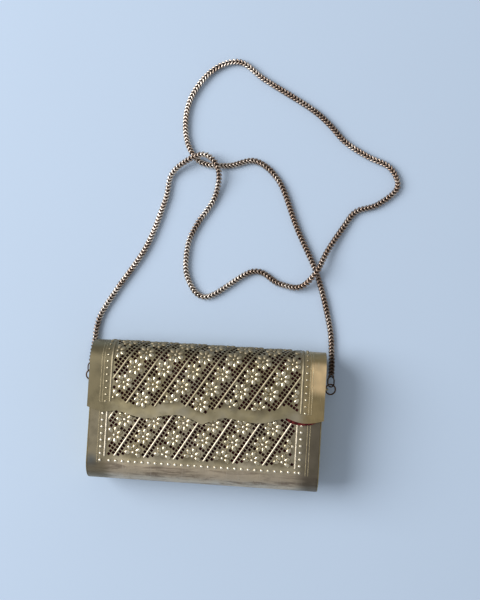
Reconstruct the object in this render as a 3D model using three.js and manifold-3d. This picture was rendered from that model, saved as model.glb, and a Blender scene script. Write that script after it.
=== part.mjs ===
// A hard metal clutch bag lying on its back: a body shell with two end plates, a lid that wraps
// over the top and is hinged along the back, a fabric lining, a magnetic clasp and a chain strap.
// Millimetres. +X runs along the bag, +Y towards its top, +Z out of its front. The origin lies in
// the middle of the footprint, on the surface that the back rests on.
import * as THREE from 'three';
import { mergeVertices } from 'three/addons/utils/BufferGeometryUtils.js';
import Module from 'manifold-3d';

const wasm = await Module();
wasm.setup();

// Driving dimensions
const bagWidth = 178;            // end to end of the lid
const bagHeight = 106;           // bottom to top
const bagDepth = 40;             // back to the lid's front
const cornerRadius = 16;         // outside corners of the section
const sheet = 0.8;               // metal sheet
const liningThickness = 0.6;     // fabric on its backing
const lidOverhang = 1.3;         // lid past each end plate
const lidDrop = 50;              // top of the bag to the lid's lower corners
const lidOverlap = 11;           // front wall's upper edge above the lid's lower corners
const hingeBelowCorner = 6;      // hinge axis below the back's top corner

// Clearances
const seat = 0.3;                // between pieces that are soldered, glued or clipped together
const solder = 0.1;              // joint between a shell and its end plates
const lidRunning = 0.5;          // lid's lining over the front wall, and the clasp over raised work
const liningEdge = 2;            // lining's edge inside a metal edge
const knuckleGap = 0.3;          // between neighbouring hinge knuckles

// Hinge
const hingePinRadius = 0.7;
const hingeBoreRadius = 0.8;
const hingeBarrelRadius = 1.5;
const hingeLift = 0.2;           // barrel above the resting surface
const hingeMargin = 4.9;         // hinge's end to the end plate
const hingeKnuckles = 5;
const leafWidth = 3;
const leafThickness = 0.6;
const shellToBarrel = 0.75;      // sheet edge to barrel
const roundSides = 12;

// Clasp
const claspRadius = 5;
const claspThickness = 0.8;
const claspRise = 3.5;           // clasp's centre above the lid's lower corners

// Pierced and raised pattern, measured on the unfolded sheet
const ribSpacing = 22.4;         // along X
const lidRibAngle = THREE.MathUtils.degToRad(57);
const bodyRibAngle = THREE.MathUtils.degToRad(59);
const ribWidth = 1.6;
const ribHeight = 0.6;
const rosettePetals = 7;
const rosettePitch = 14.2;       // along the ribs
const petalRing = 3.9;           // rosette's middle to a petal's middle
const petalHalfWidth = 1.55;
const petalHalfLength = 2.1;
const petalHeight = 0.95;
const petalSides = 5;
const petalTurn = 0.25;          // first petal from straight up, as a share of a step
const petalInField = 1.5;        // petal's middle inside the field's edge
const centreRadius = 1.3;
const centreHeight = 0.9;
const centreInField = 0.8;
const holeSize = 2;
const holeStep = 4.6;            // between the holes across a gap
const holesAside = 1;            // holes on each side of the middle one
const fieldMargin = 18.5;        // pattern's side border, from the lid's ends
const barMargin = 17.2;
const beadMargin = 14;
const beadRadius = 1.1;
const beadHeight = 0.8;
const beadPitch = 5;
const beadSides = 4;
const bossTop = 0.6;             // a boss's flat top, as a share of its width at the sheet
const sunk = 0.4;                // raised work starts inside the sheet
const patternStep = 0.5;         // steps in which a rib looks for the edges of its field
const lidBand = 7.6;             // plain band above the lid's scalloped edge
const lidSideLow = 4.5;          // lid's beads and bars start above its corners
const lidFieldOnBack = 3;        // pattern's upper end, past the start of the back's corner
const fieldAboveBeads = 3.5;     // front wall's pattern above its row of beads
const lidRibPhase = -10.7;       // X of a rib at the phase line
const lidRibPhaseAt = 10;        // phase line above the lid's lower corners
const lidRosetteRow = 6.3;
const lidRosetteOffset = -1.2;   // rosettes lie a little left of the middle between ribs
const lidRosetteFall = 0.02;     // rows of rosettes fall to the right
const bodyRibPhase = 8.9;
const bodyRibPhaseAt = 17;       // phase line above the row of beads
const bodyRosetteRow = 19.3;
const bodyRosetteOffset = 0.8;
const bodyRosetteFall = 0;
const bodyFieldShift = -2;       // front wall's pattern lies a little left of its middle

// Scalloped lower edge of the lid, from left to right, cut by hand and so not quite even: share of
// the half width, drop below the corners. Curves meet at two cusps and at the tip in the middle.
const scallopCurves = [
  [[-1, 0.2], [-0.95, 1.8], [-0.89, 3.2], [-0.83, 3.2], [-0.745, 1.8]],
  [
    [-0.745, 1.8], [-0.65, 4.1], [-0.55, 6.1], [-0.45, 5.9], [-0.33, 3.5], [-0.22, 2.7], [-0.13, 4.4],
    [-0.015, 8.7],
  ],
  [
    [-0.015, 8.7], [0.064, 5.3], [0.15, 2.9], [0.22, 2.8], [0.31, 4], [0.43, 5], [0.53, 4], [0.62, 1.2],
    [0.69, -0.3],
  ],
  [[0.69, -0.3], [0.77, 2], [0.84, 2.8], [0.92, 2.1], [1, 0.2]],
];
const scallopPieces = 2;         // steps between two points of the edge

// Strap fittings
const lugWire = 0.7;             // wire radius
const lugRadius = 1.9;
const lugReach = 3;              // straight leg
const lugDrop = 29;              // below the top of the bag
const lugZ = 7;
const ringRadius = 3.9;
const ringWire = 0.6;
const ringTilt = THREE.MathUtils.degToRad(8);
const loopRadius = 3.1;
const loopWire = 0.5;
const loopStretch = 1.8;
const loopTurn = THREE.MathUtils.degToRad(50);
const loopSlack = 0.8;
const wireSides = 8;

// Chain strap: diameter, and its route from the left end to the right end
const chainDiameter = 4.2;
const chainSides = 8;
const chainSteps = 88;
const chainRoute = [
  [-95.2, 34.9, 6.5], [-94.8, 49, 2.8], [-92, 70, 2.3], [-80, 92.5, 2.3], [-58, 128.5, 2.3],
  [-45, 167, 2.3], [-41.5, 187, 2.8], [-29.5, 198.8, 6], [-14.3, 204.3, 7.7], [-3.2, 192.5, 6.6],
  [-5.4, 171, 2.5], [-18.5, 148.4, 2.3], [-24.6, 131, 2.3], [-23.2, 106, 2.3], [-7, 91.3, 2.3],
  [28.6, 113.5, 2.3], [50, 105, 2.4], [67, 103.2, 4.6], [79, 115.6, 7.4], [87, 133, 4.6],
  [98.5, 152.5, 2.4], [107.7, 165.5, 2.3], [124.5, 172.2, 2.3], [139.5, 186.5, 2.3], [133, 202, 2.3],
  [115, 210.1, 2.3], [97, 220.5, 2.3], [82.8, 234.7, 2.3], [67, 247, 2.3], [30, 268, 2.3],
  [8, 281.8, 2.3], [-14, 273, 2.3], [-30, 248, 2.3],
  [-31, 219, 2.3], [-19, 199.5, 2.3], [4, 197.3, 2.3], [26, 202, 2.3], [46, 186, 2.3],
  [62, 150, 2.3], [80, 113.3, 2.3], [91.9, 74, 2.3], [95, 49, 2.8], [95.2, 34.9, 6.5],
];

// Worked out from the driving dimensions
const halfWidth = bagWidth / 2;
const top = bagHeight / 2;
const bottom = -bagHeight / 2;
const plateOuter = halfWidth - lidOverhang;
const plateInner = plateOuter - sheet;
const shellEnd = plateInner - solder;
const bodyFront = bagDepth - sheet - seat - liningThickness - lidRunning;
const lidEdgeY = top - lidDrop;
const lidLowest = lidEdgeY - Math.max(...scallopCurves.flat().map(([, drop]) => drop));
const mouthY = lidEdgeY + lidOverlap;
const claspY = lidEdgeY + claspRise;
const hingeY = top - cornerRadius - hingeBelowCorner;
const hingeZ = hingeLift + hingeBarrelRadius;
const hingeLength = 2 * (plateInner - hingeMargin);
const edgeFromAxis = hingeBarrelRadius + shellToBarrel;
const lidBackEdge = hingeY + edgeFromAxis;
const bodyBackEdge = hingeY - edgeFromAxis;
const rosetteRadius = petalRing + petalHalfLength;
const petal = {
  acrossHalf: petalHalfWidth, alongHalf: petalHalfLength, height: petalHeight, sides: petalSides,
};
const centre = { acrossHalf: centreRadius, alongHalf: centreRadius, height: centreHeight, sides: beadSides };
const bead = { acrossHalf: beadRadius, alongHalf: beadRadius, height: beadHeight, sides: beadSides };
const liningInset = sheet + seat;
const liningEnd = plateInner - seat - liningThickness - seat;
const bodyBeadY = bottom + cornerRadius;
const bodyFieldTop = claspY - claspRadius - lidRunning;
const bodyFieldLow = bodyBeadY + fieldAboveBeads;
const lidToBackCorner = lidDrop - cornerRadius + cornerRadius * Math.PI / 2 + bagDepth - 2 * cornerRadius;
const lugY = top - lugDrop;
const lidEnd = { side: 1, tip: top, front: bagDepth, back: 0, radius: cornerRadius };
const bodyEnd = { side: -1, tip: bottom, front: bodyFront, back: 0, radius: cornerRadius };

// Finishes
const finish = {
  lid: { color: 0xa3945f, metalness: 0.9, roughness: 0.42 },
  body: { color: 0x94875c, metalness: 0.9, roughness: 0.48 },
  plate: { color: 0x877b56, metalness: 0.9, roughness: 0.5 },
  hinge: { color: 0x8f8154, metalness: 0.9, roughness: 0.45 },
  lining: { color: 0x551820, metalness: 0, roughness: 0.95 },
  magnet: { color: 0x84868a, metalness: 1, roughness: 0.3 },
  fitting: { color: 0x43322a, metalness: 0.8, roughness: 0.5 },
  chain: { color: 0x8e8073, metalness: 0.85, roughness: 0.45 },
};

const weldTolerance = 1e-4;

// Solids: closed three.js geometries become manifolds for joining and cutting, and come back
function welded(geometry) {
  const bare = geometry.clone();
  bare.deleteAttribute('normal');
  bare.deleteAttribute('uv');
  return mergeVertices(bare, weldTolerance);
}

function solid(geometry) {
  const merged = welded(geometry);
  return new wasm.Manifold(new wasm.Mesh({
    numProp: 3,
    vertProperties: new Float32Array(merged.attributes.position.array),
    triVerts: new Uint32Array(merged.index.array),
  }));
}

function geometryOf(manifold) {
  const mesh = manifold.getMesh();
  const geometry = new THREE.BufferGeometry();
  geometry.setAttribute('position', new THREE.BufferAttribute(mesh.vertProperties.slice(), 3));
  geometry.setIndex(new THREE.BufferAttribute(mesh.triVerts.slice(), 1));
  geometry.computeVertexNormals();
  return geometry;
}

function joined(first, others) {
  return others.reduce((sum, other) => sum.add(other), first);
}

function cut(first, others) {
  return others.length ? first.subtract(joined(others[0], others.slice(1))) : first;
}

function part(name, geometry, look) {
  const mesh = new THREE.Mesh(geometry, new THREE.MeshStandardMaterial(look));
  mesh.name = name;
  return mesh;
}

// Extrudes a shape drawn in the YZ section along X
function alongX(shape, from, to) {
  const geometry = new THREE.ExtrudeGeometry(shape, {
    depth: to - from, bevelEnabled: false, curveSegments: 4,
  });
  const turn = new THREE.Matrix4().makeBasis(
    new THREE.Vector3(0, 1, 0), new THREE.Vector3(0, 0, 1), new THREE.Vector3(1, 0, 0),
  );
  return geometry.applyMatrix4(turn).translate(from, 0, 0);
}

// Extrudes a shape drawn in plan (XY) up Z
function alongZ(shape, from, to) {
  return new THREE.ExtrudeGeometry(shape, { depth: to - from, bevelEnabled: false }).translate(0, 0, from);
}

// Section of a sheet bent round one end of the bag: front flat, two corners, back flat
function bentSheet(end, inset, thickness, frontEdge, backEdge) {
  const { side, tip, front, back, radius } = end;
  const centreY = tip - side * radius;
  const outer = radius - inset;
  const inner = outer - thickness;
  const middle = side > 0 ? 0 : Math.PI;
  const last = middle - side * Math.PI / 2;
  const clockwise = side > 0;
  const shape = new THREE.Shape();
  shape.moveTo(frontEdge, front - inset);
  shape.lineTo(centreY, front - inset);
  shape.absarc(centreY, front - radius, outer, Math.PI / 2, middle, clockwise);
  shape.absarc(centreY, back + radius, outer, middle, last, clockwise);
  shape.lineTo(backEdge, back + inset);
  shape.lineTo(backEdge, back + inset + thickness);
  shape.absarc(centreY, back + radius, inner, last, middle, !clockwise);
  shape.absarc(centreY, front - radius, inner, middle, Math.PI / 2, !clockwise);
  shape.lineTo(frontEdge, front - inset - thickness);
  shape.closePath();
  return shape;
}

// Maps (x, distance along the sheet from its front edge, height above it) onto a bent sheet
function bendOnto(end, frontEdge, geometry) {
  const { side, tip, front, back, radius } = end;
  const centreY = tip - side * radius;
  const flat = side * (centreY - frontEdge);
  const arc = radius * Math.PI / 2;
  const wall = front - back - 2 * radius;
  const place = geometry.attributes.position;
  for (let i = 0; i < place.count; i += 1) {
    const s = place.getY(i);
    const h = place.getZ(i);
    let y = frontEdge + side * s;
    let z = front + h;
    if (s > flat + arc + wall) {
      const a = (s - flat - arc - wall) / radius;
      y = centreY + side * (radius + h) * Math.cos(a);
      z = back + radius - (radius + h) * Math.sin(a);
    } else if (s > flat + arc) {
      y = tip + side * h;
      z = front - radius - (s - flat - arc);
    } else if (s > flat) {
      const a = (s - flat) / radius;
      y = centreY + side * (radius + h) * Math.sin(a);
      z = front - radius + (radius + h) * Math.cos(a);
    }
    place.setXYZ(i, place.getX(i), y, z);
  }
  if (side > 0) return geometry;
  // Going down the body reverses the sheet's second direction, so the faces turn round
  const order = geometry.index ? geometry.index.array : [...Array(place.count).keys()];
  const turned = [];
  for (let i = 0; i < order.length; i += 3) turned.push(order[i], order[i + 2], order[i + 1]);
  geometry.setIndex(turned);
  return geometry;
}

// The pattern of one wall: diagonal ribs, rosettes between them, holes in the gaps, beads and bars.
// The field runs from low, which may change along the bag, to high.
function patternOf({
  low, high, shift, upward, angle, ribX, rosetteRow, rosetteOffset, rosetteFall, bars, beads,
}) {
  const rowStep = rosettePitch * Math.sin(angle);
  const reach = halfWidth - fieldMargin;
  const lowest = low(0);
  const firstRow = Math.floor((lowest - rosetteRow) / rowStep);
  const pattern = { ribs: [], petals: [], centres: [], holes: [], beads: [], bars: [] };
  const bands = Math.ceil((reach + high - lowest) / ribSpacing) + 1;
  const inField = (x, s, margin) => (
    Math.abs(x - shift) <= reach - margin && s >= low(x) + margin && s <= high - margin
  );
  for (let k = -bands; k <= bands; k += 1) {
    const rib = (s) => ribX(s) + k * ribSpacing;
    const middle = (s) => rib(s) + ribSpacing / 2 + rosetteOffset;
    const along = [];
    for (let s = lowest; s <= high; s += patternStep) if (inField(rib(s), s, 0)) along.push(s);
    const [from, to] = [along[0], along[along.length - 1]];
    if (to - from > rosetteRadius) pattern.ribs.push([rib(from), from, rib(to), to]);
    for (let j = firstRow; rosetteRow + j * rowStep <= high + rosetteRadius; j += 1) {
      const row = rosetteRow + j * rowStep;
      const s = row - upward * rosetteFall * middle(row);
      if (inField(middle(s), s, centreInField)) pattern.centres.push([middle(s), s]);
      for (let n = 0; n < rosettePetals; n += 1) {
        const turn = 2 * Math.PI * (n + petalTurn) / rosettePetals;
        const out = [petalRing * Math.sin(turn), upward * petalRing * Math.cos(turn)];
        const [x, petalS] = [middle(s) + out[0], s + out[1]];
        if (inField(x, petalS, petalInField)) pattern.petals.push([x, petalS, Math.atan2(out[0], -out[1])]);
      }
      const gap = s + rowStep / 2;
      for (let n = -holesAside; n <= holesAside; n += 1) {
        const x = middle(gap) + n * holeStep * Math.sin(angle);
        const holeS = gap - upward * n * holeStep * Math.cos(angle);
        if (inField(x, holeS, holeSize)) pattern.holes.push([x, holeS, upward * angle]);
      }
    }
  }
  for (const side of [-1, 1]) {
    const barX = shift + side * (halfWidth - barMargin);
    pattern.bars.push([barX, bars[0], barX, bars[1]]);
    for (const s of beads.column) pattern.beads.push([shift + side * (halfWidth - beadMargin), s]);
  }
  for (const x of beads.row) pattern.beads.push([x, beads.rowAt]);
  return pattern;
}

// Places at the pitch of the beads, from one place to another
function beadPlaces(from, to) {
  const count = Math.floor(Math.abs(to - from) / beadPitch) + 1;
  return Array.from({ length: count }, (_, k) => from + Math.sign(to - from) * k * beadPitch);
}

// Raised bar between two points of the unfolded sheet
function ridge([x0, s0, x1, s1], bend) {
  const length = Math.hypot(x1 - x0, s1 - s0);
  const pieces = Math.ceil(length / (cornerRadius / 2));
  const bar = new THREE.BoxGeometry(length, ribWidth, ribHeight + sunk, pieces, 1, 1);
  bar.rotateZ(Math.atan2(s1 - s0, x1 - x0));
  bar.translate((x0 + x1) / 2, (s0 + s1) / 2, (ribHeight - sunk) / 2);
  return solid(bend(bar));
}

// Low boss with a flat top on the unfolded sheet, turned about its own axis
function boss([x, s, turn = 0], { acrossHalf, alongHalf, height, sides }, bend) {
  const foot = bossTop + (1 - bossTop) * (height + sunk) / height;
  const body = new THREE.CylinderGeometry(bossTop, foot, height + sunk, sides);
  body.rotateX(Math.PI / 2).scale(acrossHalf, alongHalf, 1).rotateZ(turn);
  body.translate(x, s, (height - sunk) / 2);
  return solid(bend(body));
}

// Square hole turned along the ribs
function pierce([x, s, turn], bend) {
  const above = centreHeight + seat;
  const below = sheet + seat;
  const tool = new THREE.BoxGeometry(holeSize, holeSize, above + below);
  tool.rotateZ(turn);
  tool.translate(x, s, (above - below) / 2);
  return solid(bend(tool));
}

function decorated(plain, pattern, bend) {
  const raised = [
    ...pattern.ribs.map((rib) => ridge(rib, bend)),
    ...pattern.bars.map((bar) => ridge(bar, bend)),
    ...pattern.petals.map((spot) => boss(spot, petal, bend)),
    ...pattern.centres.map((spot) => boss(spot, centre, bend)),
    ...pattern.beads.map((spot) => boss(spot, bead, bend)),
  ];
  return cut(joined(plain, raised), pattern.holes.map((spot) => pierce(spot, bend)));
}

// Lid
function scallopCurve(curve) {
  const points = curve.map(([share, drop]) => new THREE.Vector2(share * halfWidth, lidEdgeY - drop));
  return new THREE.SplineCurve(points).getPoints(scallopPieces * (points.length - 1));
}

function scallopEdge() {
  return scallopCurves.flatMap((curve, k) => scallopCurve(curve).slice(k === 0 ? 0 : 1));
}

// Drop of the scalloped edge below the lid's corners
function edgeDrop(edge, x) {
  const next = edge.findIndex((point) => point.x >= x);
  const [a, b] = [edge[next - 1], edge[next]];
  return lidEdgeY - THREE.MathUtils.mapLinear(x, a.x, b.x, a.y, b.y);
}

function scallopCutter(edge) {
  const outside = halfWidth + lidOverhang;
  const below = lidLowest - lidOverhang;
  const shape = new THREE.Shape([
    new THREE.Vector2(-outside, below), new THREE.Vector2(-outside, edge[0].y), ...edge,
    new THREE.Vector2(outside, edge[edge.length - 1].y), new THREE.Vector2(outside, below),
  ]);
  return solid(alongZ(shape, bodyFront, bagDepth + sheet));
}

function lidShell() {
  const section = bentSheet(lidEnd, 0, sheet, lidLowest, lidBackEdge);
  const edge = scallopEdge();
  const plain = cut(solid(alongX(section, -halfWidth, halfWidth)), [scallopCutter(edge)]);
  const bend = (geometry) => bendOnto(lidEnd, lidEdgeY, geometry);
  const high = lidToBackCorner + lidFieldOnBack;
  const pattern = patternOf({
    low: (x) => Math.max(0, lidBand - edgeDrop(edge, x)), high, shift: 0, upward: 1, angle: lidRibAngle,
    rosetteRow: lidRosetteRow, rosetteOffset: lidRosetteOffset, rosetteFall: lidRosetteFall,
    bars: [lidSideLow, high], beads: { column: beadPlaces(lidSideLow, high), row: [] },
    ribX: (s) => lidRibPhase + (s - lidRibPhaseAt) / Math.tan(lidRibAngle),
  });
  return geometryOf(decorated(plain, pattern, bend));
}

function lidLining() {
  const lower = lidEdgeY + liningEdge;
  const section = bentSheet(lidEnd, liningInset, liningThickness, lower, lidBackEdge + leafWidth);
  const roomRadius = claspRadius + seat;
  const room = new THREE.CylinderGeometry(roomRadius, roomRadius, bagDepth - bodyFront, 2 * roundSides);
  room.rotateX(Math.PI / 2).translate(0, claspY, (bagDepth + bodyFront) / 2);
  return geometryOf(solid(alongX(section, -liningEnd, liningEnd)).subtract(solid(room)));
}

// Body
function bodyShell() {
  const section = bentSheet(bodyEnd, 0, sheet, mouthY, bodyBackEdge);
  const bend = (geometry) => bendOnto(bodyEnd, mouthY, geometry);
  const low = mouthY - bodyFieldTop;
  const high = mouthY - bodyFieldLow;
  const rowAt = mouthY - bodyBeadY;
  const rowEnd = beadPitch * Math.floor((halfWidth - barMargin) / beadPitch);
  const pattern = patternOf({
    low: () => low, high, shift: bodyFieldShift, upward: -1, angle: bodyRibAngle,
    rosetteRow: rowAt - bodyRosetteRow, rosetteOffset: bodyRosetteOffset, rosetteFall: bodyRosetteFall,
    bars: [low, high], beads: { column: beadPlaces(rowAt, low), row: beadPlaces(-rowEnd, rowEnd), rowAt },
    ribX: (s) => bodyRibPhase + (mouthY - s - bodyBeadY - bodyRibPhaseAt) / Math.tan(bodyRibAngle),
  });
  return geometryOf(decorated(solid(alongX(section, -shellEnd, shellEnd)), pattern, bend));
}

function bodyLining() {
  const backEdge = bodyBackEdge - leafWidth;
  const section = bentSheet(bodyEnd, liningInset, liningThickness, mouthY - liningEdge, backEdge);
  return alongX(section, -liningEnd, liningEnd);
}

// Flat end of the bag: it covers the body shell's edge and stays inside the lid
function endOutline(inset) {
  const lidCorner = cornerRadius - sheet - seat - inset;
  const bodyCorner = cornerRadius - solder - inset;
  const lidCentreY = top - cornerRadius;
  const bodyCentreY = bottom + cornerRadius;
  const front = bodyFront - solder - inset;
  const shape = new THREE.Shape();
  shape.moveTo(bodyBackEdge, solder + inset);
  shape.lineTo(bodyCentreY, solder + inset);
  shape.absarc(bodyCentreY, cornerRadius, bodyCorner, -Math.PI / 2, -Math.PI, true);
  shape.absarc(bodyCentreY, front - bodyCorner, bodyCorner, Math.PI, Math.PI / 2, true);
  shape.absarc(lidCentreY, front - lidCorner, lidCorner, Math.PI / 2, 0, true);
  shape.absarc(lidCentreY, cornerRadius, lidCorner, 0, -Math.PI / 2, true);
  shape.lineTo(bodyBackEdge, sheet + seat + inset);
  shape.closePath();
  return shape;
}

function endPlate(side) {
  const faces = [side * plateInner, side * plateOuter].sort((a, b) => a - b);
  return alongX(endOutline(0), ...faces);
}

function endLining(side) {
  const outer = plateInner - seat;
  const inset = sheet + seat + liningThickness + seat;
  const faces = [side * outer, side * (outer - liningThickness)].sort((a, b) => a - b);
  return alongX(endOutline(inset), ...faces);
}

// Hinge: two leaves with rolled knuckles on one pin
function hingeCylinder(radius, from, to) {
  const tube = new THREE.CylinderGeometry(radius, radius, to - from, roundSides);
  return tube.rotateZ(Math.PI / 2).translate((from + to) / 2, hingeY, hingeZ);
}

function hingeLeaf(side, owns) {
  const pitch = (hingeLength + knuckleGap) / hingeKnuckles;
  const near = hingeY + side * (hingeBarrelRadius + knuckleGap);
  const stripY = near + side * leafWidth / 2;
  const stripZ = sheet + solder + leafThickness / 2;
  let leaf = solid(new THREE.BoxGeometry(hingeLength, leafWidth, leafThickness).translate(0, stripY, stripZ));
  for (let k = 0; k < hingeKnuckles; k += 1) {
    if (!owns(k)) continue;
    const from = -hingeLength / 2 + k * pitch;
    const to = from + pitch - knuckleGap;
    const tabReach = Math.abs(near - hingeY) + leafWidth / 2;
    const tab = new THREE.BoxGeometry(to - from, tabReach, leafThickness);
    tab.translate((from + to) / 2, hingeY + side * tabReach / 2, stripZ);
    leaf = leaf.add(solid(hingeCylinder(hingeBarrelRadius, from, to))).add(solid(tab));
  }
  return geometryOf(leaf.subtract(solid(hingeCylinder(hingeBoreRadius, -hingeLength, hingeLength))));
}

// Clasp: a magnet under the lid and a keeper behind the front wall
function claspDisc(upperFace) {
  const disc = new THREE.CylinderGeometry(claspRadius, claspRadius, claspThickness, 2 * roundSides);
  return disc.rotateX(Math.PI / 2).translate(0, claspY, upperFace - claspThickness / 2);
}

// Strap fittings
function wireSection(radius, sides) {
  const ring = [];
  for (let k = 0; k < sides; k += 1) {
    const angle = 2 * Math.PI * k / sides;
    ring.push(new THREE.Vector2(radius * Math.cos(angle), radius * Math.sin(angle)));
  }
  return new THREE.Shape(ring);
}

const eyeX = plateOuter + seat + lugReach + lugRadius - lugWire - seat - ringWire;

function lug(side) {
  const start = plateOuter + seat;
  const points = [[start, -lugRadius], [start + lugReach / 2, -lugRadius]];
  for (let k = -3; k <= 3; k += 1) {
    const angle = k * Math.PI / 6;
    points.push([start + lugReach + lugRadius * Math.cos(angle), lugRadius * Math.sin(angle)]);
  }
  points.push([start + lugReach / 2, lugRadius], [start, lugRadius]);
  const bend = points.map(([x, z]) => new THREE.Vector3(side * x, lugY, lugZ + z));
  const path = new THREE.CatmullRomCurve3(bend);
  return new THREE.ExtrudeGeometry(wireSection(lugWire, wireSides), {
    extrudePath: path, steps: 14, bevelEnabled: false,
  });
}

// Ring or oval link of round wire, stretched along Y
function wireLink(radius, wire, stretch) {
  const link = new THREE.TorusGeometry(radius, wire, wireSides - 2, 18);
  const place = link.attributes.position;
  for (let i = 0; i < place.count; i += 1) {
    const y = place.getY(i);
    if (Math.abs(y) > wire) place.setY(i, y + Math.sign(y) * stretch / 2);
  }
  return welded(link);
}

function jumpRing(name, side) {
  const ring = part(name, wireLink(ringRadius, ringWire, 0), finish.fitting);
  ring.rotation.y = side * ringTilt;
  ring.position.set(
    side * (eyeX + ringRadius * Math.cos(ringTilt)), lugY, lugZ - ringRadius * Math.sin(ringTilt),
  );
  return ring;
}

function chainLoop(name, side) {
  const loop = part(name, wireLink(loopRadius, loopWire, loopStretch), finish.fitting);
  loop.rotation.y = side * (ringTilt - loopTurn);
  const nearEnd = lugY + ringRadius - ringWire - loopSlack - loopWire;
  loop.position.set(
    side * (eyeX + ringRadius * Math.cos(ringTilt)), nearEnd + loopRadius + loopStretch / 2,
    lugZ - ringRadius * Math.sin(ringTilt),
  );
  return loop;
}

function chainStrap() {
  const points = chainRoute.map((point) => new THREE.Vector3(...point));
  const path = new THREE.CatmullRomCurve3(points, false, 'catmullrom', 0.5);
  path.arcLengthDivisions = 2000;
  return new THREE.ExtrudeGeometry(wireSection(chainDiameter / 2, chainSides), {
    extrudePath: path, steps: chainSteps, bevelEnabled: false,
  });
}

const clutch = new THREE.Group();
clutch.add(part('body_shell', bodyShell(), finish.body));
clutch.add(part('left_end_plate', endPlate(-1), finish.plate));
clutch.add(part('right_end_plate', endPlate(1), finish.plate));
clutch.add(part('lid_shell', lidShell(), finish.lid));
clutch.add(part('body_lining', bodyLining(), finish.lining));
clutch.add(part('left_end_lining', endLining(-1), finish.lining));
clutch.add(part('right_end_lining', endLining(1), finish.lining));
clutch.add(part('lid_lining', lidLining(), finish.lining));
clutch.add(part('body_hinge_leaf', hingeLeaf(-1, (k) => k % 2 === 0), finish.hinge));
clutch.add(part('lid_hinge_leaf', hingeLeaf(1, (k) => k % 2 === 1), finish.hinge));
clutch.add(part('hinge_pin', hingeCylinder(hingePinRadius, -hingeLength / 2, hingeLength / 2), finish.hinge));
clutch.add(part('lid_magnet', claspDisc(bagDepth - sheet - seat), finish.magnet));
clutch.add(part('clasp_keeper', claspDisc(bodyFront - liningInset - liningThickness - seat), finish.magnet));
clutch.add(part('left_lug', lug(-1), finish.plate));
clutch.add(part('right_lug', lug(1), finish.plate));
clutch.add(jumpRing('left_jump_ring', -1));
clutch.add(jumpRing('right_jump_ring', 1));
clutch.add(chainLoop('left_chain_loop', -1));
clutch.add(chainLoop('right_chain_loop', 1));
clutch.add(part('chain_strap', chainStrap(), finish.chain));

export default clutch;
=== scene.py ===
# %% [markdown]
# # A pierced brass clutch on a chain strap
# The bag is a box of thin brass sheet: a body, two flat ends, and a lid that wraps over the top and
# hangs in front with a scalloped edge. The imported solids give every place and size. This lesson
# dresses them one piece at a time: pierced sheets, raised work, lining, hinge, fittings and chain.

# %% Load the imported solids
import math
import random

import bmesh
import bpy
from mathutils import Euler, Matrix, Vector
from mathutils.geometry import delaunay_2d_cdt


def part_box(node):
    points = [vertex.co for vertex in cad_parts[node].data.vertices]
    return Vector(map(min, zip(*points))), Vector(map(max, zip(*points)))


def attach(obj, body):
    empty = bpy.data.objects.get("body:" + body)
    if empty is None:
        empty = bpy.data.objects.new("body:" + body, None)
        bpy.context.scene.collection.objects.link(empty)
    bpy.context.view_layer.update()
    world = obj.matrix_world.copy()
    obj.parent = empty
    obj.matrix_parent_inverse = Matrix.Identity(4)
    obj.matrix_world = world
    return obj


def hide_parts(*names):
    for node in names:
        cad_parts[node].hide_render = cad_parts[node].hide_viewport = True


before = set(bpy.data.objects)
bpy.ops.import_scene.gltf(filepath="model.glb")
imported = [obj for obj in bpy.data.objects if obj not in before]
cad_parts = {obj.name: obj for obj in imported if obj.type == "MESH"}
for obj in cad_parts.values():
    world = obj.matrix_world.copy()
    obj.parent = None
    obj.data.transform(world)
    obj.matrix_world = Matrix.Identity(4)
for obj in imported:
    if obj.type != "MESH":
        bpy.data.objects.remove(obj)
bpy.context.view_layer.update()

# %% [markdown]
# The script thinks in millimetres, as a metalworker would, and turns them into metres only when a
# mesh is made. Sizes that the solids hold are read from them, so the dress always fits.

# %% Sizes of the bag, in millimetres
MM = 0.001


def low_and_high(node):
    low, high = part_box(node)
    return low / MM, high / MM


sheet = 0.8
seat = 0.3
solder = 0.1
corner = 16
half_width = low_and_high("lid_shell")[1].x
half_height = -low_and_high("body_shell")[0].y
lid_front = low_and_high("lid_magnet")[1].z + seat + sheet
body_end = low_and_high("body_shell")[1].x
plate_inner = low_and_high("right_end_plate")[0].x
plate_outer = low_and_high("right_end_plate")[1].x
body_front = low_and_high("right_end_plate")[1].z + solder
lid_hang = 50
lid_overlap = 11
lid_edge = half_height - lid_hang
mouth = lid_edge + lid_overlap
hinge_y = 31
hinge_z = 1.7
back_edge_gap = 2.25
lid_back = hinge_y + back_edge_gap
body_back = hinge_y - back_edge_gap
print("half width", round(half_width, 2), "mm")
print("lid front", round(lid_front, 2), "mm, body front", round(body_front, 2), "mm")

# %% [markdown]
# The camera looks almost straight down on the bag, a little from its upper right. Its place, turn
# and lens come from fitting a pinhole camera to the bag's corners in a frame of 480 by 600 pixels.

# %% Camera
camera_place = (48.5, 72.2, 622.2)
camera_turn_deg = (1.82, 2.55, 3.37)
focal_pixels = 777.9
frame_long_side = 600

camera_data = bpy.data.cameras.new("camera")
camera_data.sensor_width = 36
camera_data.lens = focal_pixels / frame_long_side * camera_data.sensor_width
camera_data.clip_start = 0.01
camera = bpy.data.objects.new("camera", camera_data)
camera.location = Vector(camera_place) * MM
camera.rotation_euler = Euler([math.radians(a) for a in camera_turn_deg], "XYZ")
bpy.context.scene.collection.objects.link(camera)
bpy.context.scene.camera = camera
print("lens", round(camera_data.lens, 2), "mm")

# %% [markdown]
# A few small helpers come next. Among them, mesh_object() makes an object from points in millimetres,
# band() lists the faces between two rings of points, smooth() shades a mesh smooth except across
# sharp edges, and dress() gives a finished piece its material and its body and hides the solids it
# replaces.

# %% Helpers for meshes


def linked(name, data):
    made = bpy.data.objects.new(name, data)
    bpy.context.scene.collection.objects.link(made)
    return made


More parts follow.
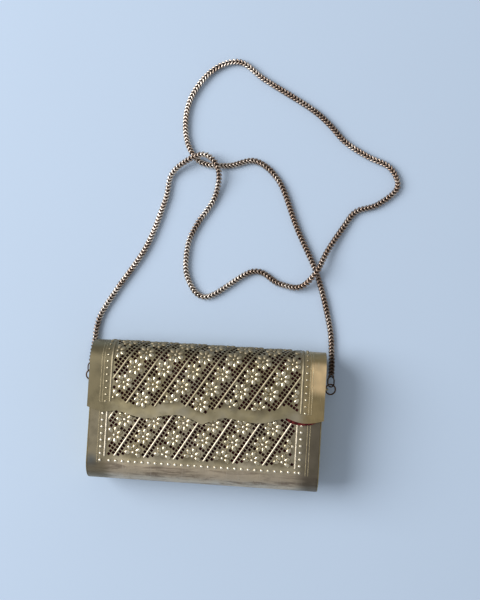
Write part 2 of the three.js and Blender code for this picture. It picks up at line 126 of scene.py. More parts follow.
def mesh_object(name, points, faces, edges=()):
    mesh = bpy.data.meshes.new(name)
    mesh.from_pydata([Vector(p) * MM for p in points], list(edges), [list(f) for f in faces])
    mesh.update()
    return linked(name, mesh)


def object_from(name, shape):
    mesh = bpy.data.meshes.new(name)
    shape.to_mesh(mesh)
    shape.free()
    return linked(name, mesh)


def band(a, b, count):
    return [(a + n, a + (n + 1) % count, b + (n + 1) % count, b + n) for n in range(count)]


def smooth(piece, angle_deg=40):
    piece.data.shade_smooth()
    piece.data.set_sharp_from_angle(angle=math.radians(angle_deg))
    return piece


def outward(piece):
    shape = bmesh.new()
    shape.from_mesh(piece.data)
    bmesh.ops.recalc_face_normals(shape, faces=shape.faces)
    shape.to_mesh(piece.data)
    shape.free()
    return piece


def dress(piece, finish, body, slot, *nodes, inside=None):
    coat_of_face = [face.material_index for face in piece.data.polygons]
    piece.data.materials.clear()
    for coat in (finish, inside):
        if coat is not None:
            piece.data.materials.append(coat)
    piece.data.polygons.foreach_set("material_index", coat_of_face)
    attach(piece, body)
    if nodes:
        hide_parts(*nodes)
    print(piece.name, len(piece.data.polygons), "faces on", body)
    return piece


def set_attribute(mesh, name, values):
    layer = mesh.attributes.new(name, "FLOAT", "POINT")
    layer.data.foreach_set("value", values)


def set_facing(mesh, directions):
    layer = mesh.attributes.new("facing", "FLOAT_VECTOR", "POINT")
    layer.data.foreach_set("vector", [n for direction in directions for n in direction])


# %% [markdown]
# Materials are small node trees. One helper makes the Principled shader and keeps the tree handy, and
# a few more add noise, ramps and bumps in one line each. All patterns read Object coordinates, so
# they stay on the metal when a piece moves.

# %% Helpers for materials


class Finish:
    def __init__(self, name):
        self.material = bpy.data.materials.new(name)
        self.material.use_nodes = True
        self.nodes = self.material.node_tree.nodes
        self.links = self.material.node_tree.links
        self.shader = self.nodes["Principled BSDF"]
        self.place = self.nodes.new("ShaderNodeTexCoord").outputs["Object"]

    def set(self, **sockets):
        for name, value in sockets.items():
            self.shader.inputs[name.replace("_", " ")].default_value = value
        return self

    def join(self, value, socket):
        if isinstance(value, bpy.types.NodeSocket):
            self.links.new(value, socket)
        elif isinstance(value, tuple) and len(value) == 3 and socket.type == "RGBA":
            socket.default_value = (*value, 1)
        else:
            socket.default_value = value

    def stretched(self, scale, turn=(0, 0, 0)):
        node = self.nodes.new("ShaderNodeMapping")
        self.links.new(self.place, node.inputs["Vector"])
        node.inputs["Scale"].default_value = scale
        node.inputs["Rotation"].default_value = turn
        return node.outputs["Vector"]

    def noise(self, scale, detail=4, rough=0.5, where=None, distort=0):
        node = self.nodes.new("ShaderNodeTexNoise")
        self.links.new(where or self.place, node.inputs["Vector"])
        node.inputs["Scale"].default_value = scale
        node.inputs["Detail"].default_value = detail
        node.inputs["Roughness"].default_value = rough
        node.inputs["Distortion"].default_value = distort
        return node.outputs["Fac"]

    def attribute(self, name):
        node = self.nodes.new("ShaderNodeAttribute")
        node.attribute_name = name
        return node.outputs["Fac"]

    def along(self, axis):
        node = self.nodes.new("ShaderNodeSeparateXYZ")
        self.links.new(self.place, node.inputs["Vector"])
        return node.outputs[axis]

    def ramp(self, value, low, high, start=0, end=1):
        node = self.nodes.new("ShaderNodeMapRange")
        node.interpolation_type = "SMOOTHSTEP"
        self.join(value, node.inputs["Value"])
        for socket, number in (("From Min", low), ("From Max", high), ("To Min", start), ("To Max", end)):
            node.inputs[socket].default_value = number
        return node.outputs["Result"]

    def math(self, operation, first, second=0.0):
        node = self.nodes.new("ShaderNodeMath")
        node.operation = operation
        self.join(first, node.inputs[0])
        self.join(second, node.inputs[1])
        return node.outputs["Value"]

    def mix(self, share, first, second):
        node = self.nodes.new("ShaderNodeMix")
        node.data_type = "RGBA"
        self.join(share, node.inputs["Factor"])
        self.join(first, node.inputs[6])
        self.join(second, node.inputs[7])
        return node.outputs[2]

    def stained(self, plain, where, amount, colour):
        return self.mix(self.math("MULTIPLY", where, amount), plain, colour)

    def near(self, spot, radius):
        node = self.nodes.new("ShaderNodeVectorMath")
        node.operation = "DISTANCE"
        self.links.new(self.place, node.inputs[0])
        node.inputs[1].default_value = Vector(spot) * MM
        return self.ramp(node.outputs["Value"], radius * MM, 0)

    def bump(self, height, depth, under=None):
        node = self.nodes.new("ShaderNodeBump")
        node.inputs["Distance"].default_value = depth * MM
        self.join(height, node.inputs["Height"])
        if under is not None:
            self.links.new(under, node.inputs["Normal"])
        return node.outputs["Normal"]

    def wire(self, **sockets):
        for name, value in sockets.items():
            self.links.new(value, self.shader.inputs[name.replace("_", " ")])
        return self.material


# %% [markdown]
# The lid's brass is olive where it has tarnished, greyer where hands have rubbed it, and warmest along
# its right margin. Near the top of that margin, where the curve turns to the light, a bright patch is a
# painted highlight, and the left margin is painted darker as shade. Tarnish stays in the pierced field,
# between the raised petals, where no cloth reaches: the sheet carries it as an attribute.

# %% Finish of the lid's sheet


def tarnish_over(finish, plain, dark, amount=0.8):
    clouds = finish.noise(420, 3, 0.6)
    reach = finish.math("MULTIPLY", finish.attribute("tarnish"), finish.ramp(clouds, 0.25, 0.75, 0.6, 1))
    return finish.stained(plain, reach, amount, dark)


def scratches(finish, turn_deg, density=1.0):
    turn = (0, 0, math.radians(turn_deg))
    lines = finish.noise(density, 2, 0.5, finish.stretched((2600, 60, 200), turn))
    return finish.ramp(lines, 0.62, 0.72)


def dented(finish, wave=0.12, grain=0.02):
    waves = finish.noise(38, 2, 0.4)
    fine = finish.noise(900, 3, 0.6)
    return finish.bump(fine, grain, finish.bump(waves, wave))


def lid_brass():
    finish = Finish("lid_brass").set(Metallic=1.0)
    olive, grey = (0.39, 0.33, 0.195), (0.46, 0.41, 0.30)
    plain = finish.mix(finish.ramp(finish.noise(46, 4), 0.35, 0.7), olive, grey)
    right = finish.ramp(finish.along("X"), 0.066, 0.078)
    plain = finish.stained(plain, right, 0.85, (0.36, 0.27, 0.13))
    # Painted shade: the left margin is darkened.
    left = finish.ramp(finish.along("X"), -0.066, -0.076)
    plain = finish.stained(plain, left, 0.9, (0.2, 0.168, 0.1))
    # Painted highlight: a bright patch near the top of the right margin, where the curve meets the light.
    painted_highlight = finish.ramp(finish.along("X"), 0.0775, 0.0785)
    for axis, start, full in (("Y", 0.019, 0.027), ("Y", 0.047, 0.043), ("Z", 0.028, 0.034)):
        painted_highlight = finish.math("MULTIPLY", painted_highlight, finish.ramp(finish.along(axis), start, full))
    plain = finish.stained(plain, painted_highlight, 0.9, (0.92, 0.68, 0.38))
    specks = finish.ramp(finish.noise(330, 3, 0.7), 0.6, 0.78)
    plain = finish.stained(plain, specks, 0.45, (0.2, 0.15, 0.07))
    marks = finish.math("MULTIPLY", scratches(finish, 4), right)
    plain = finish.stained(plain, marks, 0.5, (0.78, 0.66, 0.42))
    colour = tarnish_over(finish, plain, (0.075, 0.05, 0.026))
    rough = finish.ramp(finish.noise(120, 4), 0.3, 0.7, 0.36, 0.52)
    return finish.wire(Base_Color=colour, Roughness=rough, Normal=dented(finish))


lid_metal = lid_brass()
print("finish:", lid_metal.name)

# %% [markdown]
# The body is handled more: its lower band, where the bag curves under, is a paler brown, partly wear and
# partly painted light on the curve, and it is scratched; the bottom corner is worn bright in streaks, a
# bluish heat mark sits near its lower left corner, its right end is painted darker as shade, and its left
# margin is painted a little darker as shade.

# %% Finish of the body's sheet
heat_mark = (-84, -37.5, 37.5)
heat_reach = 8


def body_brass():
    finish = Finish("body_brass").set(Metallic=1.0)
    olive, grey, brown = (0.42, 0.36, 0.23), (0.50, 0.44, 0.32), (0.72, 0.60, 0.46)
    plain = finish.mix(finish.ramp(finish.noise(52, 4), 0.35, 0.7), olive, grey)
    # Partly wear, partly painted light: the lower band, where the bag curves under, is a paler brown.
    lower = finish.ramp(finish.along("Y"), -0.034, -0.042)
    plain = finish.stained(plain, lower, 0.7, brown)
    streaks = finish.noise(1, 6, 0.7, finish.stretched((30, 210, 210)), 0.6)
    stains = finish.math("MULTIPLY", lower, finish.ramp(streaks, 0.44, 0.62))
    plain = finish.stained(plain, stains, 0.75, (0.2, 0.145, 0.11))
    marks = finish.math("MULTIPLY", scratches(finish, 70), lower)
    plain = finish.stained(plain, marks, 0.6, (0.72, 0.66, 0.56))
    # Painted shade: the right end is darkened.
    right = finish.ramp(finish.along("X"), 0.066, 0.08)
    plain = finish.stained(plain, right, 0.85, (0.12, 0.10, 0.075))
    # Painted shade: the left margin is darkened.
    left = finish.ramp(finish.along("X"), -0.066, -0.076)
    plain = finish.stained(plain, left, 0.8, (0.2, 0.168, 0.11))
    plain = finish.stained(plain, finish.near(heat_mark, heat_reach), 0.8, (0.12, 0.13, 0.13))
    specks = finish.ramp(finish.noise(340, 3, 0.7), 0.6, 0.78)
    plain = finish.stained(plain, specks, 0.5, (0.17, 0.12, 0.07))
    colour = tarnish_over(finish, plain, (0.075, 0.05, 0.03))
    rough = finish.ramp(finish.noise(110, 4), 0.3, 0.7, 0.38, 0.56)
    return finish.wire(Base_Color=colour, Roughness=rough, Normal=dented(finish, 0.2))


body_metal = body_brass()
print("finish:", body_metal.name)

# %% [markdown]
# Petals and beads stand proud, so every hand and cloth polishes them. They are paler than the sheet
# and smoother, and that is what makes them sparkle; the body's beads are painted near white besides, a
# painted highlight that makes each sparkle larger. Ribs are the same metal, a little duller. Over the
# top of the lid all of it is rougher and painted darker, as painted shade where the curve turns away.

# %% Finishes of the raised work
shade_and_dull_start = 40
shade_and_dull_fade = 8
dull_roughness = 0.75


def polished(name, colour, shade, low, high, shaded_dull_top=False):
    finish = Finish(name).set(Metallic=1.0)
    patches = finish.ramp(finish.noise(260, 3, 0.6), 0.35, 0.7)
    rough = finish.ramp(finish.noise(500, 2), 0.3, 0.7, low, high)
    worn = finish.bump(finish.noise(1500, 3), 0.05)
    coat = finish.mix(patches, colour, shade)
    if shaded_dull_top:
        # Painted shade: over the top of the lid the colour is darkened as well as roughened.
        top_shade_and_dull = finish.ramp(finish.along("Y"), shade_and_dull_start * MM, (shade_and_dull_start + shade_and_dull_fade) * MM, 0, 0.8)
        coat = finish.mix(top_shade_and_dull, coat, (0.22, 0.18, 0.11))
        rough = finish.math("MAXIMUM", rough, finish.math("MULTIPLY", top_shade_and_dull, dull_roughness))
    return finish.wire(Base_Color=coat, Roughness=rough, Normal=worn)


petal_metal = polished("polished_petals", (0.84, 0.76, 0.58), (0.52, 0.44, 0.28), 0.15, 0.28, shaded_dull_top=True)
# Painted highlight: the body's beads are near white so that their sparkle reads larger.
bead_metal_painted_highlight = polished("bright_beads", (0.95, 0.88, 0.74), (0.80, 0.72, 0.56), 0.28, 0.4)
lid_rib_metal = polished("satin_ribs", (0.44, 0.38, 0.265), (0.36, 0.31, 0.2), 0.48, 0.62, shaded_dull_top=True)
body_rib_metal = polished("bright_ribs", (0.66, 0.59, 0.47), (0.46, 0.40, 0.30), 0.36, 0.52)
line_metal = polished("fine_lines", (0.46, 0.39, 0.25), (0.34, 0.28, 0.17), 0.4, 0.55)
plate_metal = polished("plain_plate", (0.36, 0.3, 0.17), (0.28, 0.22, 0.12), 0.38, 0.55)
hinge_metal = polished("drawn_brass", (0.5, 0.4, 0.2), (0.36, 0.28, 0.14), 0.3, 0.45)
magnet_metal = polished("plated_steel", (0.56, 0.56, 0.57), (0.46, 0.46, 0.48), 0.2, 0.35)
wire_metal = polished("oxidised_wire", (0.12, 0.075, 0.05), (0.06, 0.036, 0.026), 0.32, 0.5)
# Painted shade: the walls of the holes are near black, for the shade inside the holes.
hole_wall_painted_shade = polished("hole_walls", (0.07, 0.045, 0.028), (0.04, 0.025, 0.018), 0.5, 0.7)
print("raised work:", petal_metal.name, lid_rib_metal.name, body_rib_metal.name)

# %% [markdown]
# The lining is a maroon velvet, painted much darker than it is as painted shade, for it lies behind the
# pierced sheet; where its loose edge hangs below the lid, a brighter red is painted light. Velvet is a
# forest of short threads: it darkens head on and glows at grazing angles, which the sheen of the
# Principled shader gives. A fine noise stands for the pile and a coarse one for where it has been stroked.

# %% Finish of the lining


def velvet():
    finish = Finish("maroon_velvet").set(Roughness=0.95, Sheen_Weight=0.12, Sheen_Roughness=0.4)
    finish.set(Sheen_Tint=(0.62, 0.2, 0.22, 1), Specular_IOR_Level=0.1)
    stroked = finish.ramp(finish.noise(60, 3, 0.6), 0.35, 0.7)
    # Painted shade: both colours are much darker than the cloth, for the shade behind the sheet.
    colour = finish.mix(stroked, (0.026, 0.004, 0.005), (0.06, 0.008, 0.01))
    # Painted light: on the loose strip, patches take a brighter red where it hangs in the light.
    worn = finish.ramp(finish.noise(420, 3, 0.7), 0.42, 0.58)
    painted_light_strip = finish.math("MULTIPLY", finish.attribute("loose"), worn)
    colour = finish.mix(painted_light_strip, colour, (0.15, 0.022, 0.022))
    return finish.wire(Base_Color=colour, Normal=finish.bump(finish.noise(2600, 2), 0.25))


lining_velvet = velvet()
print("finish:", lining_velvet.name)

# %% [markdown]
# Geometry Nodes make everything that repeats: beads, petals and knuckles sit on spots, ribs follow
# lines, and links follow the chain's route. Each tree is small and has named inputs. A helper runs
# a tree and keeps its result as a plain mesh, so no modifier is left on the piece.

# %% Helpers for Geometry Nodes


def new_tree(name, inputs):
    tree = bpy.data.node_groups.new(name, "GeometryNodeTree")
    tree.interface.new_socket("Geometry", in_out="INPUT", socket_type="NodeSocketGeometry")
    for label, kind in inputs:
        tree.interface.new_socket(label, in_out="INPUT", socket_type="NodeSocket" + kind)
    tree.interface.new_socket("Geometry", in_out="OUTPUT", socket_type="NodeSocketGeometry")
    entry = tree.nodes.new("NodeGroupInput")
    leave = tree.nodes.new("NodeGroupOutput")
    return tree, entry, leave


def chained(tree, *sockets):
    for source, target in zip(sockets[::2], sockets[1::2]):
        tree.links.new(source, target)


def finish_tree(tree, shape, entry, leave):
    realize = tree.nodes.new("GeometryNodeRealizeInstances")
    shade = tree.nodes.new("GeometryNodeSetShadeSmooth")
    coat = tree.nodes.new("GeometryNodeSetMaterial")
    chained(
        tree, shape, realize.inputs[0], realize.outputs[0], shade.inputs["Geometry"],
        shade.outputs[0], coat.inputs["Geometry"], entry.outputs["Finish"], coat.inputs["Material"],
        coat.outputs[0], leave.inputs[0],
    )


def named_attribute(tree, name, kind):
    node = tree.nodes.new("GeometryNodeInputNamedAttribute")
    node.data_type = kind
    node.inputs["Name"].default_value = name
    return node.outputs[0]


def turned_copies(tree):
    about = tree.nodes.new("FunctionNodeAxisAngleToRotation")
    about.inputs["Axis"].default_value = (0, 0, 1)
    turn = tree.nodes.new("FunctionNodeRotateRotation")
    turn.rotation_space = "LOCAL"
    scatter = tree.nodes.new("GeometryNodeInstanceOnPoints")
    chained(tree, about.outputs[0], turn.inputs["Rotate By"], turn.outputs[0], scatter.inputs["Rotation"])
    return about, turn, scatter


def grow(piece, tree, **values):
    modifier = piece.modifiers.new("grow", "NODES")
    modifier.node_group = tree
    for item in tree.interface.items_tree:
        if item.in_out == "INPUT" and item.name in values:
            modifier[item.identifier] = values[item.name]
    bpy.context.view_layer.update()
    seen = piece.evaluated_get(bpy.context.evaluated_depsgraph_get())
    grown = bpy.data.meshes.new_from_object(seen)
    piece.modifiers.remove(modifier)
    seed = piece.data
    piece.data = grown
    bpy.data.meshes.remove(seed)
    grown.name = piece.name
    return piece


# %% [markdown]
# The first tree sets a copy of one shape on every vertex of a mesh of spots. Each spot carries the
# direction it faces, a spin about that direction and a size.

# %% Tree that sets shapes on spots


def spots_tree():
    tree, entry, leave = new_tree("shapes_on_spots", [("Shape", "Object"), ("Finish", "Material")])
    shape = tree.nodes.new("GeometryNodeObjectInfo")
    align = tree.nodes.new("FunctionNodeAlignRotationToVector")
    align.axis = "Z"
    about, turn, scatter = turned_copies(tree)
    chained(
        tree, entry.outputs["Shape"], shape.inputs["Object"],
        named_attribute(tree, "facing", "FLOAT_VECTOR"), align.inputs["Vector"],
        named_attribute(tree, "spin", "FLOAT"), about.inputs["Angle"],
        align.outputs[0], turn.inputs["Rotation"], entry.outputs["Geometry"], scatter.inputs["Points"],
        shape.outputs["Geometry"], scatter.inputs["Instance"],
        named_attribute(tree, "size", "FLOAT"), scatter.inputs["Scale"],
    )
    finish_tree(tree, scatter.outputs[0], entry, leave)
    return tree


shapes_on_spots = spots_tree()


def set_on_spots(name, spots, shape, finish):
    piece = mesh_object(name, [spot["place"] for spot in spots], [])
    set_facing(piece.data, [spot["facing"] for spot in spots])
    set_attribute(piece.data, "spin", [spot.get("spin", 0.0) for spot in spots])
    set_attribute(piece.data, "size", [spot.get("size", 1.0) for spot in spots])
    grow(piece, shapes_on_spots, Shape=shape, Finish=finish)
    bpy.data.objects.remove(shape)
    return piece


print("tree:", shapes_on_spots.name, "nodes", len(shapes_on_spots.nodes))

# %% [markdown]
# The second tree turns lines into bars. A bar's section is a flattened round, half sunk in the sheet,
# which is how a rib struck from behind looks. Each point of a line carries the direction its sheet
# faces, so that the flat of the section follows the sheet round the bag's corners.

# %% Tree that turns lines into bars
bar_flatness = 0.7


def bars_tree():
    tree, entry, leave = new_tree("bars_on_lines", [("Radius", "Float"), ("Finish", "Material")])
    lines = tree.nodes.new("GeometryNodeMeshToCurve")
    level = tree.nodes.new("GeometryNodeSetCurveNormal")
    level.mode = "FREE"
    section = tree.nodes.new("GeometryNodeCurvePrimitiveCircle")
    section.inputs["Resolution"].default_value = 8
    flatten = tree.nodes.new("GeometryNodeTransform")
    flatten.inputs["Scale"].default_value = (bar_flatness, 1, 1)
    sweep = tree.nodes.new("GeometryNodeCurveToMesh")
    sweep.inputs["Fill Caps"].default_value = True
    chained(
        tree, entry.outputs["Geometry"], lines.inputs["Mesh"], lines.outputs[0], level.inputs["Curve"],
        named_attribute(tree, "facing", "FLOAT_VECTOR"), level.inputs["Normal"],
        entry.outputs["Radius"], section.inputs["Radius"], section.outputs[0], flatten.inputs["Geometry"],
        level.outputs[0], sweep.inputs["Curve"], flatten.outputs[0], sweep.inputs["Profile Curve"],
    )
    finish_tree(tree, sweep.outputs[0], entry, leave)
    return tree


bars_on_lines = bars_tree()


def set_on_lines(name, lines, radius, finish):
    spots = [spot for line in lines for spot in line]
    edges, first = [], 0
    for line in lines:
        edges += [(first + k, first + k + 1) for k in range(len(line) - 1)]
        first += len(line)
    piece = mesh_object(name, [spot["place"] for spot in spots], [], edges)
    set_facing(piece.data, [spot["facing"] for spot in spots])
    return grow(piece, bars_on_lines, Radius=radius * MM, Finish=finish)


print("tree:", bars_on_lines.name, "nodes", len(bars_on_lines.nodes))

# %% [markdown]
# The strap is a woven chain a metre long. It leaves a small loop on the left, wanders over the ground,
# crosses itself and comes back to a loop on the right. The route is the one that the solids follow:
# listed points, joined by a smooth spline.

# %% Route of the chain
chain_diameter = 4.2
route = [
    (-95.2, 34.9, 6.5), (-94.8, 49, 2.8), (-92, 70, 2.3), (-80, 92.5, 2.3), (-58, 128.5, 2.3),
    (-45, 167, 2.3), (-41.5, 187, 2.8), (-29.5, 198.8, 6), (-14.3, 204.3, 7.7), (-3.2, 192.5, 6.6),
    (-5.4, 171, 2.5), (-18.5, 148.4, 2.3), (-24.6, 131, 2.3), (-23.2, 106, 2.3), (-7, 91.3, 2.3),
    (28.6, 113.5, 2.3), (50, 105, 2.4), (67, 103.2, 4.6), (79, 115.6, 7.4), (87, 133, 4.6),
    (98.5, 152.5, 2.4), (107.7, 165.5, 2.3), (124.5, 172.2, 2.3), (139.5, 186.5, 2.3), (133, 202, 2.3),
    (115, 210.1, 2.3), (97, 220.5, 2.3), (82.8, 234.7, 2.3), (67, 247, 2.3), (30, 268, 2.3),
    (8, 281.8, 2.3), (-14, 273, 2.3), (-30, 248, 2.3), (-31, 219, 2.3), (-19, 199.5, 2.3),
    (4, 197.3, 2.3), (26, 202, 2.3), (46, 186, 2.3), (62, 150, 2.3), (80, 113.3, 2.3),
    (91.9, 74, 2.3), (95, 49, 2.8), (95.2, 34.9, 6.5),
]


def spline(points, pieces):
    points = [Vector(p) for p in points]
    points = [2 * points[0] - points[1], *points, 2 * points[-1] - points[-2]]
    curve = []
    for a, b, c, d in zip(points, points[1:], points[2:], points[3:]):
        for k in range(pieces):
            t = k / pieces
            pull = (c - a) * t + (2 * a - 5 * b + 4 * c - d) * t ** 2 + (3 * b - a - 3 * c + d) * t ** 3
            curve.append(b + pull / 2)
    return [*curve, points[-2]]


route_pieces = 24
chain_path = spline(route, route_pieces)
chain_length = sum((b - a).length for a, b in zip(chain_path, chain_path[1:]))
print("chain:", round(chain_length), "mm")

# %% [markdown]
# Each link is a loop of wire folded into a V, and every link lies in the fold of the one before it. Seen
# from above or below, the legs of the Vs make a herringbone. A third tree sets the links along the
# route, with a slow twist, because no chain lies quite flat, and fills the middle of the weave with
# a core, a dark tube of painted shade. An attribute named crest is 1 on the outside of a link and 0
# deep inside; the finish paints shade where it is low, darkens the chain towards the right as painted
# shade, and darkens it near both ends as painted shadow from the bag.

# %% Links of the chain
link_pitch = 2.8
link_wire = 0.62
link_sides = 5
link_fold = [(0.15, 1.45, -1.3), (1.05, 1.4, -0.4), (1.75, 0.85, 0.7), (1.9, 0, 1.2)]
shade_core_radius = 1.15
shade_core_sides = 6
twist_angle = math.radians(14)
twist_rate = 0.12
end_shadow_reach = 26


def swept(points, radius, sides, closed):
    count = len(points)
    rings, across = [], None
    for k, point in enumerate(points):
        ahead = points[(k + 1) % count] if closed or k + 1 < count else point
        behind = points[k - 1] if closed or k > 0 else point
        along = (ahead - behind).normalized()
        if across is None:
            across = along.orthogonal().normalized()
        across = (across - along * across.dot(along)).normalized()
        up = along.cross(across)
        angles = [2 * math.pi * n / sides for n in range(sides)]
        rings.append([point + radius * (math.cos(a) * across + math.sin(a) * up) for a in angles])
    faces = []
    for k in range(count if closed else count - 1):
        faces += band(k * sides, (k + 1) % count * sides, sides)
    if not closed:
        faces += [tuple(reversed(range(sides))), tuple((count - 1) * sides + n for n in range(sides))]
    return [point for ring in rings for point in ring], faces


def folded_loop(pieces=2):
    right = [Vector(p) for p in link_fold]
    right += [Vector((x, -y, z)) for x, y, z in reversed(link_fold[:-1])]
    ring = right + [Vector((-p.x, p.y, p.z)) for p in reversed(right)]
    return spline([ring[-1], *ring, ring[0]], pieces)[pieces:-1 - pieces] + [(ring[-1] + ring[0]) / 2]


def chain_link():
    points, faces = swept(folded_loop(), link_wire, link_sides, True)
    link = mesh_object("link", points, faces)
    reach = chain_diameter / 2
    set_attribute(link.data, "crest", [math.hypot(p.x, p.y) / reach for p in points])
    return outward(link)


def chain_tree():
    tree, entry, leave = new_tree(
        "links_on_route", [("Link", "Object"), ("Pitch", "Float"), ("Finish", "Material")],
    )
    curve = tree.nodes.new("GeometryNodeMeshToCurve")
    level = tree.nodes.new("GeometryNodeSetCurveNormal")
    level.mode = "Z_UP"
    places = tree.nodes.new("GeometryNodeCurveToPoints")
    places.mode = "LENGTH"
    link = tree.nodes.new("GeometryNodeObjectInfo")
    index = tree.nodes.new("GeometryNodeInputIndex")
    phase, wave, twist = (tree.nodes.new("ShaderNodeMath") for _ in range(3))
    phase.operation, wave.operation, twist.operation = "MULTIPLY", "SINE", "MULTIPLY"
    phase.inputs[1].default_value = twist_rate
    twist.inputs[1].default_value = twist_angle
    about, turn, scatter = turned_copies(tree)
    # The core carries no crest, so the finish paints it as shade.
    section = tree.nodes.new("GeometryNodeCurvePrimitiveCircle")
    section.inputs["Resolution"].default_value = shade_core_sides
    section.inputs["Radius"].default_value = shade_core_radius * MM
    shade_core = tree.nodes.new("GeometryNodeCurveToMesh")
    shade_core.inputs["Fill Caps"].default_value = True
    both = tree.nodes.new("GeometryNodeJoinGeometry")
    chained(
        tree, curve.outputs[0], shade_core.inputs["Curve"], section.outputs[0], shade_core.inputs["Profile Curve"],
        shade_core.outputs[0], both.inputs[0], scatter.outputs[0], both.inputs[0],
    )
    chained(
        tree, entry.outputs["Geometry"], curve.inputs["Mesh"], curve.outputs[0], level.inputs["Curve"],
        level.outputs[0], places.inputs["Curve"], entry.outputs["Pitch"], places.inputs["Length"],
        entry.outputs["Link"], link.inputs["Object"], index.outputs[0], phase.inputs[0],
        phase.outputs[0], wave.inputs[0], wave.outputs[0], twist.inputs[0],
        twist.outputs[0], about.inputs["Angle"], places.outputs["Rotation"], turn.inputs["Rotation"],
        places.outputs["Points"], scatter.inputs["Points"],
        link.outputs["Geometry"], scatter.inputs["Instance"],
    )
    finish_tree(tree, both.outputs[0], entry, leave)
    return tree


def chain_finish():
    finish = Finish("woven_chain").set(Metallic=1.0)
    silver, brown, weave_painted_shade = (0.92, 0.82, 0.72), (0.42, 0.31, 0.24), (0.05, 0.03, 0.022)
    # Painted shade: besides the random tarnish, the ramp along X browns the chain towards the right.
    tarnish = finish.math("ADD", finish.noise(90, 4), finish.ramp(finish.along("X"), -0.03, 0.06, 0, 0.2))
    worn = finish.mix(finish.ramp(tarnish, 0.35, 0.75), silver, brown)
    # Painted shadow: the chain darkens near both ends, where it lies in the bag's shadow.
    end_shadows = finish.math("MAXIMUM", finish.near(route[0], end_shadow_reach), finish.near(route[-1], end_shadow_reach))
    worn = finish.mix(finish.ramp(end_shadows, 0.1, 0.6, 0, 0.85), worn, (0.09, 0.055, 0.036))
    # Painted shade: where crest is low, deep in a link and on the core, the colour is near black.
    colour = finish.mix(finish.ramp(finish.attribute("crest"), 0.55, 0.88), weave_painted_shade, worn)
    return finish.wire(Base_Color=colour, Roughness=finish.ramp(finish.noise(700), 0.3, 0.7, 0.2, 0.34))


edges = [(k, k + 1) for k in range(len(chain_path) - 1)]
chain = mesh_object("woven_chain", chain_path, [], edges)
link_shape = chain_link()
chain_metal = chain_finish()
grow(chain, chain_tree(), Link=link_shape, Pitch=link_pitch * MM, Finish=chain_metal)
bpy.data.objects.remove(link_shape)
dress(chain, chain_metal, "body", "chain", "chain_strap")
print("links:", round(chain_length / link_pitch))

# %% [markdown]
# Both shells are flat sheets before they are bent: patterns are marked out, pierced and struck on the
# flat, and then the sheet is wrapped over a former. The script works in the same order. A point of
# the flat sheet has x along the bag and s along its own bend, counted from the edge in front, and a
# Wrap takes it to its place. Patterns count heights from the lid's corners or in the bag's own y,
# and lid_s() and body_s() turn these into s.

# %% Bending a flat sheet round the bag's end


class Wrap:
    def __init__(self, end, front_edge, front, back_edge):
        self.end, self.front_edge, self.front = end, front_edge, front
        self.tip = end * half_height
        self.centre = end * (half_height - corner)
        self.flat = end * (self.centre - front_edge)
        self.arc = corner * math.pi / 2
        self.wall = front - 2 * corner
        self.on_wall = self.flat + self.arc
        self.on_back_arc = self.on_wall + self.wall
        self.on_back = self.on_back_arc + self.arc
        self.length = self.on_back + end * (self.centre - back_edge)

    def facing(self, s):
        if s <= self.flat:
            return Vector((0, 0, 1))
        if s <= self.on_wall:
            a = (s - self.flat) / corner
            return Vector((0, self.end * math.sin(a), math.cos(a)))
        if s <= self.on_back_arc:
            return Vector((0, self.end, 0))
        if s <= self.on_back:
            a = (s - self.on_back_arc) / corner
            return Vector((0, self.end * math.cos(a), -math.sin(a)))
        return Vector((0, 0, -1))

    def on_surface(self, x, s):
        out = self.facing(s)
        if s <= self.flat:
            return Vector((x, self.front_edge + self.end * s, self.front))
        if s <= self.on_wall:
            return Vector((x, self.centre, self.front - corner)) + corner * out
        if s <= self.on_back_arc:
            return Vector((x, self.tip, self.front - corner - (s - self.on_wall)))
        if s <= self.on_back:
            return Vector((x, self.centre, corner)) + corner * out
        return Vector((x, self.centre - self.end * (s - self.on_back), 0))

    def at(self, x, s, height=0):
        return self.on_surface(x, s) + height * self.facing(s)

    def rows(self, start, stop, fine=1.4, coarse=3.5):
        marks = [start]
        while marks[-1] < stop:
            in_front = self.flat - fine < marks[-1] < self.on_wall
            behind = self.on_back_arc - fine < marks[-1] < self.on_back
            marks.append(marks[-1] + (fine if in_front or behind else coarse))
        return [*marks[:-1], stop]


lid_wrap = Wrap(1, lid_edge, lid_front, lid_back)
body_wrap = Wrap(-1, mouth, body_front, body_back)


def lid_s(up):
    return up


def body_s(y):
    return mouth - y


print("unfolded lid", round(lid_wrap.length, 1), "mm, body", round(body_wrap.length, 1), "mm")

# %% [markdown]
# The lid's lower edge is a scallop, cut by hand and so not quite even: a pointed tip in the middle, a
# wave each side and a lobe at each corner. Four splines draw it from left to right, and they meet at
# the tip and at two cusps. Each point is a share of the half width and a drop below the corners.

# %% Scalloped edge of the lid
scallop_pieces = 7
left_cusp, tip, right_cusp = (-0.745, 1.8), (-0.015, 8.7), (0.69, -0.3)
scallop_curves = [
    [(-1, 0.2), (-0.95, 1.8), (-0.89, 3.2), (-0.83, 3.2), left_cusp],
    [left_cusp, (-0.65, 4.1), (-0.55, 6.1), (-0.45, 5.9), (-0.33, 3.5), (-0.22, 2.7), (-0.13, 4.4), tip],
    [tip, (0.064, 5.3), (0.15, 2.9), (0.22, 2.8), (0.31, 4), (0.43, 5), (0.53, 4), (0.62, 1.2), right_cusp],
    [right_cusp, (0.77, 2), (0.84, 2.8), (0.92, 2.1), (1, 0.2)],
]
lid_lower_edge = []
for curve in scallop_curves:
    bend = spline([(share * half_width, -drop, 0) for share, drop in curve], scallop_pieces)
    lid_lower_edge += [(point.x, point.y) for point in bend[1 if lid_lower_edge else 0:]]


def scallop_drop(x):
    for (x0, up0), (x1, up1) in zip(lid_lower_edge, lid_lower_edge[1:]):
        if x <= x1:
            share = min(1.0, max(0.0, (x - x0) / (x1 - x0)))
            return -(up0 + (up1 - up0) * share)
    return -lid_lower_edge[-1][1]


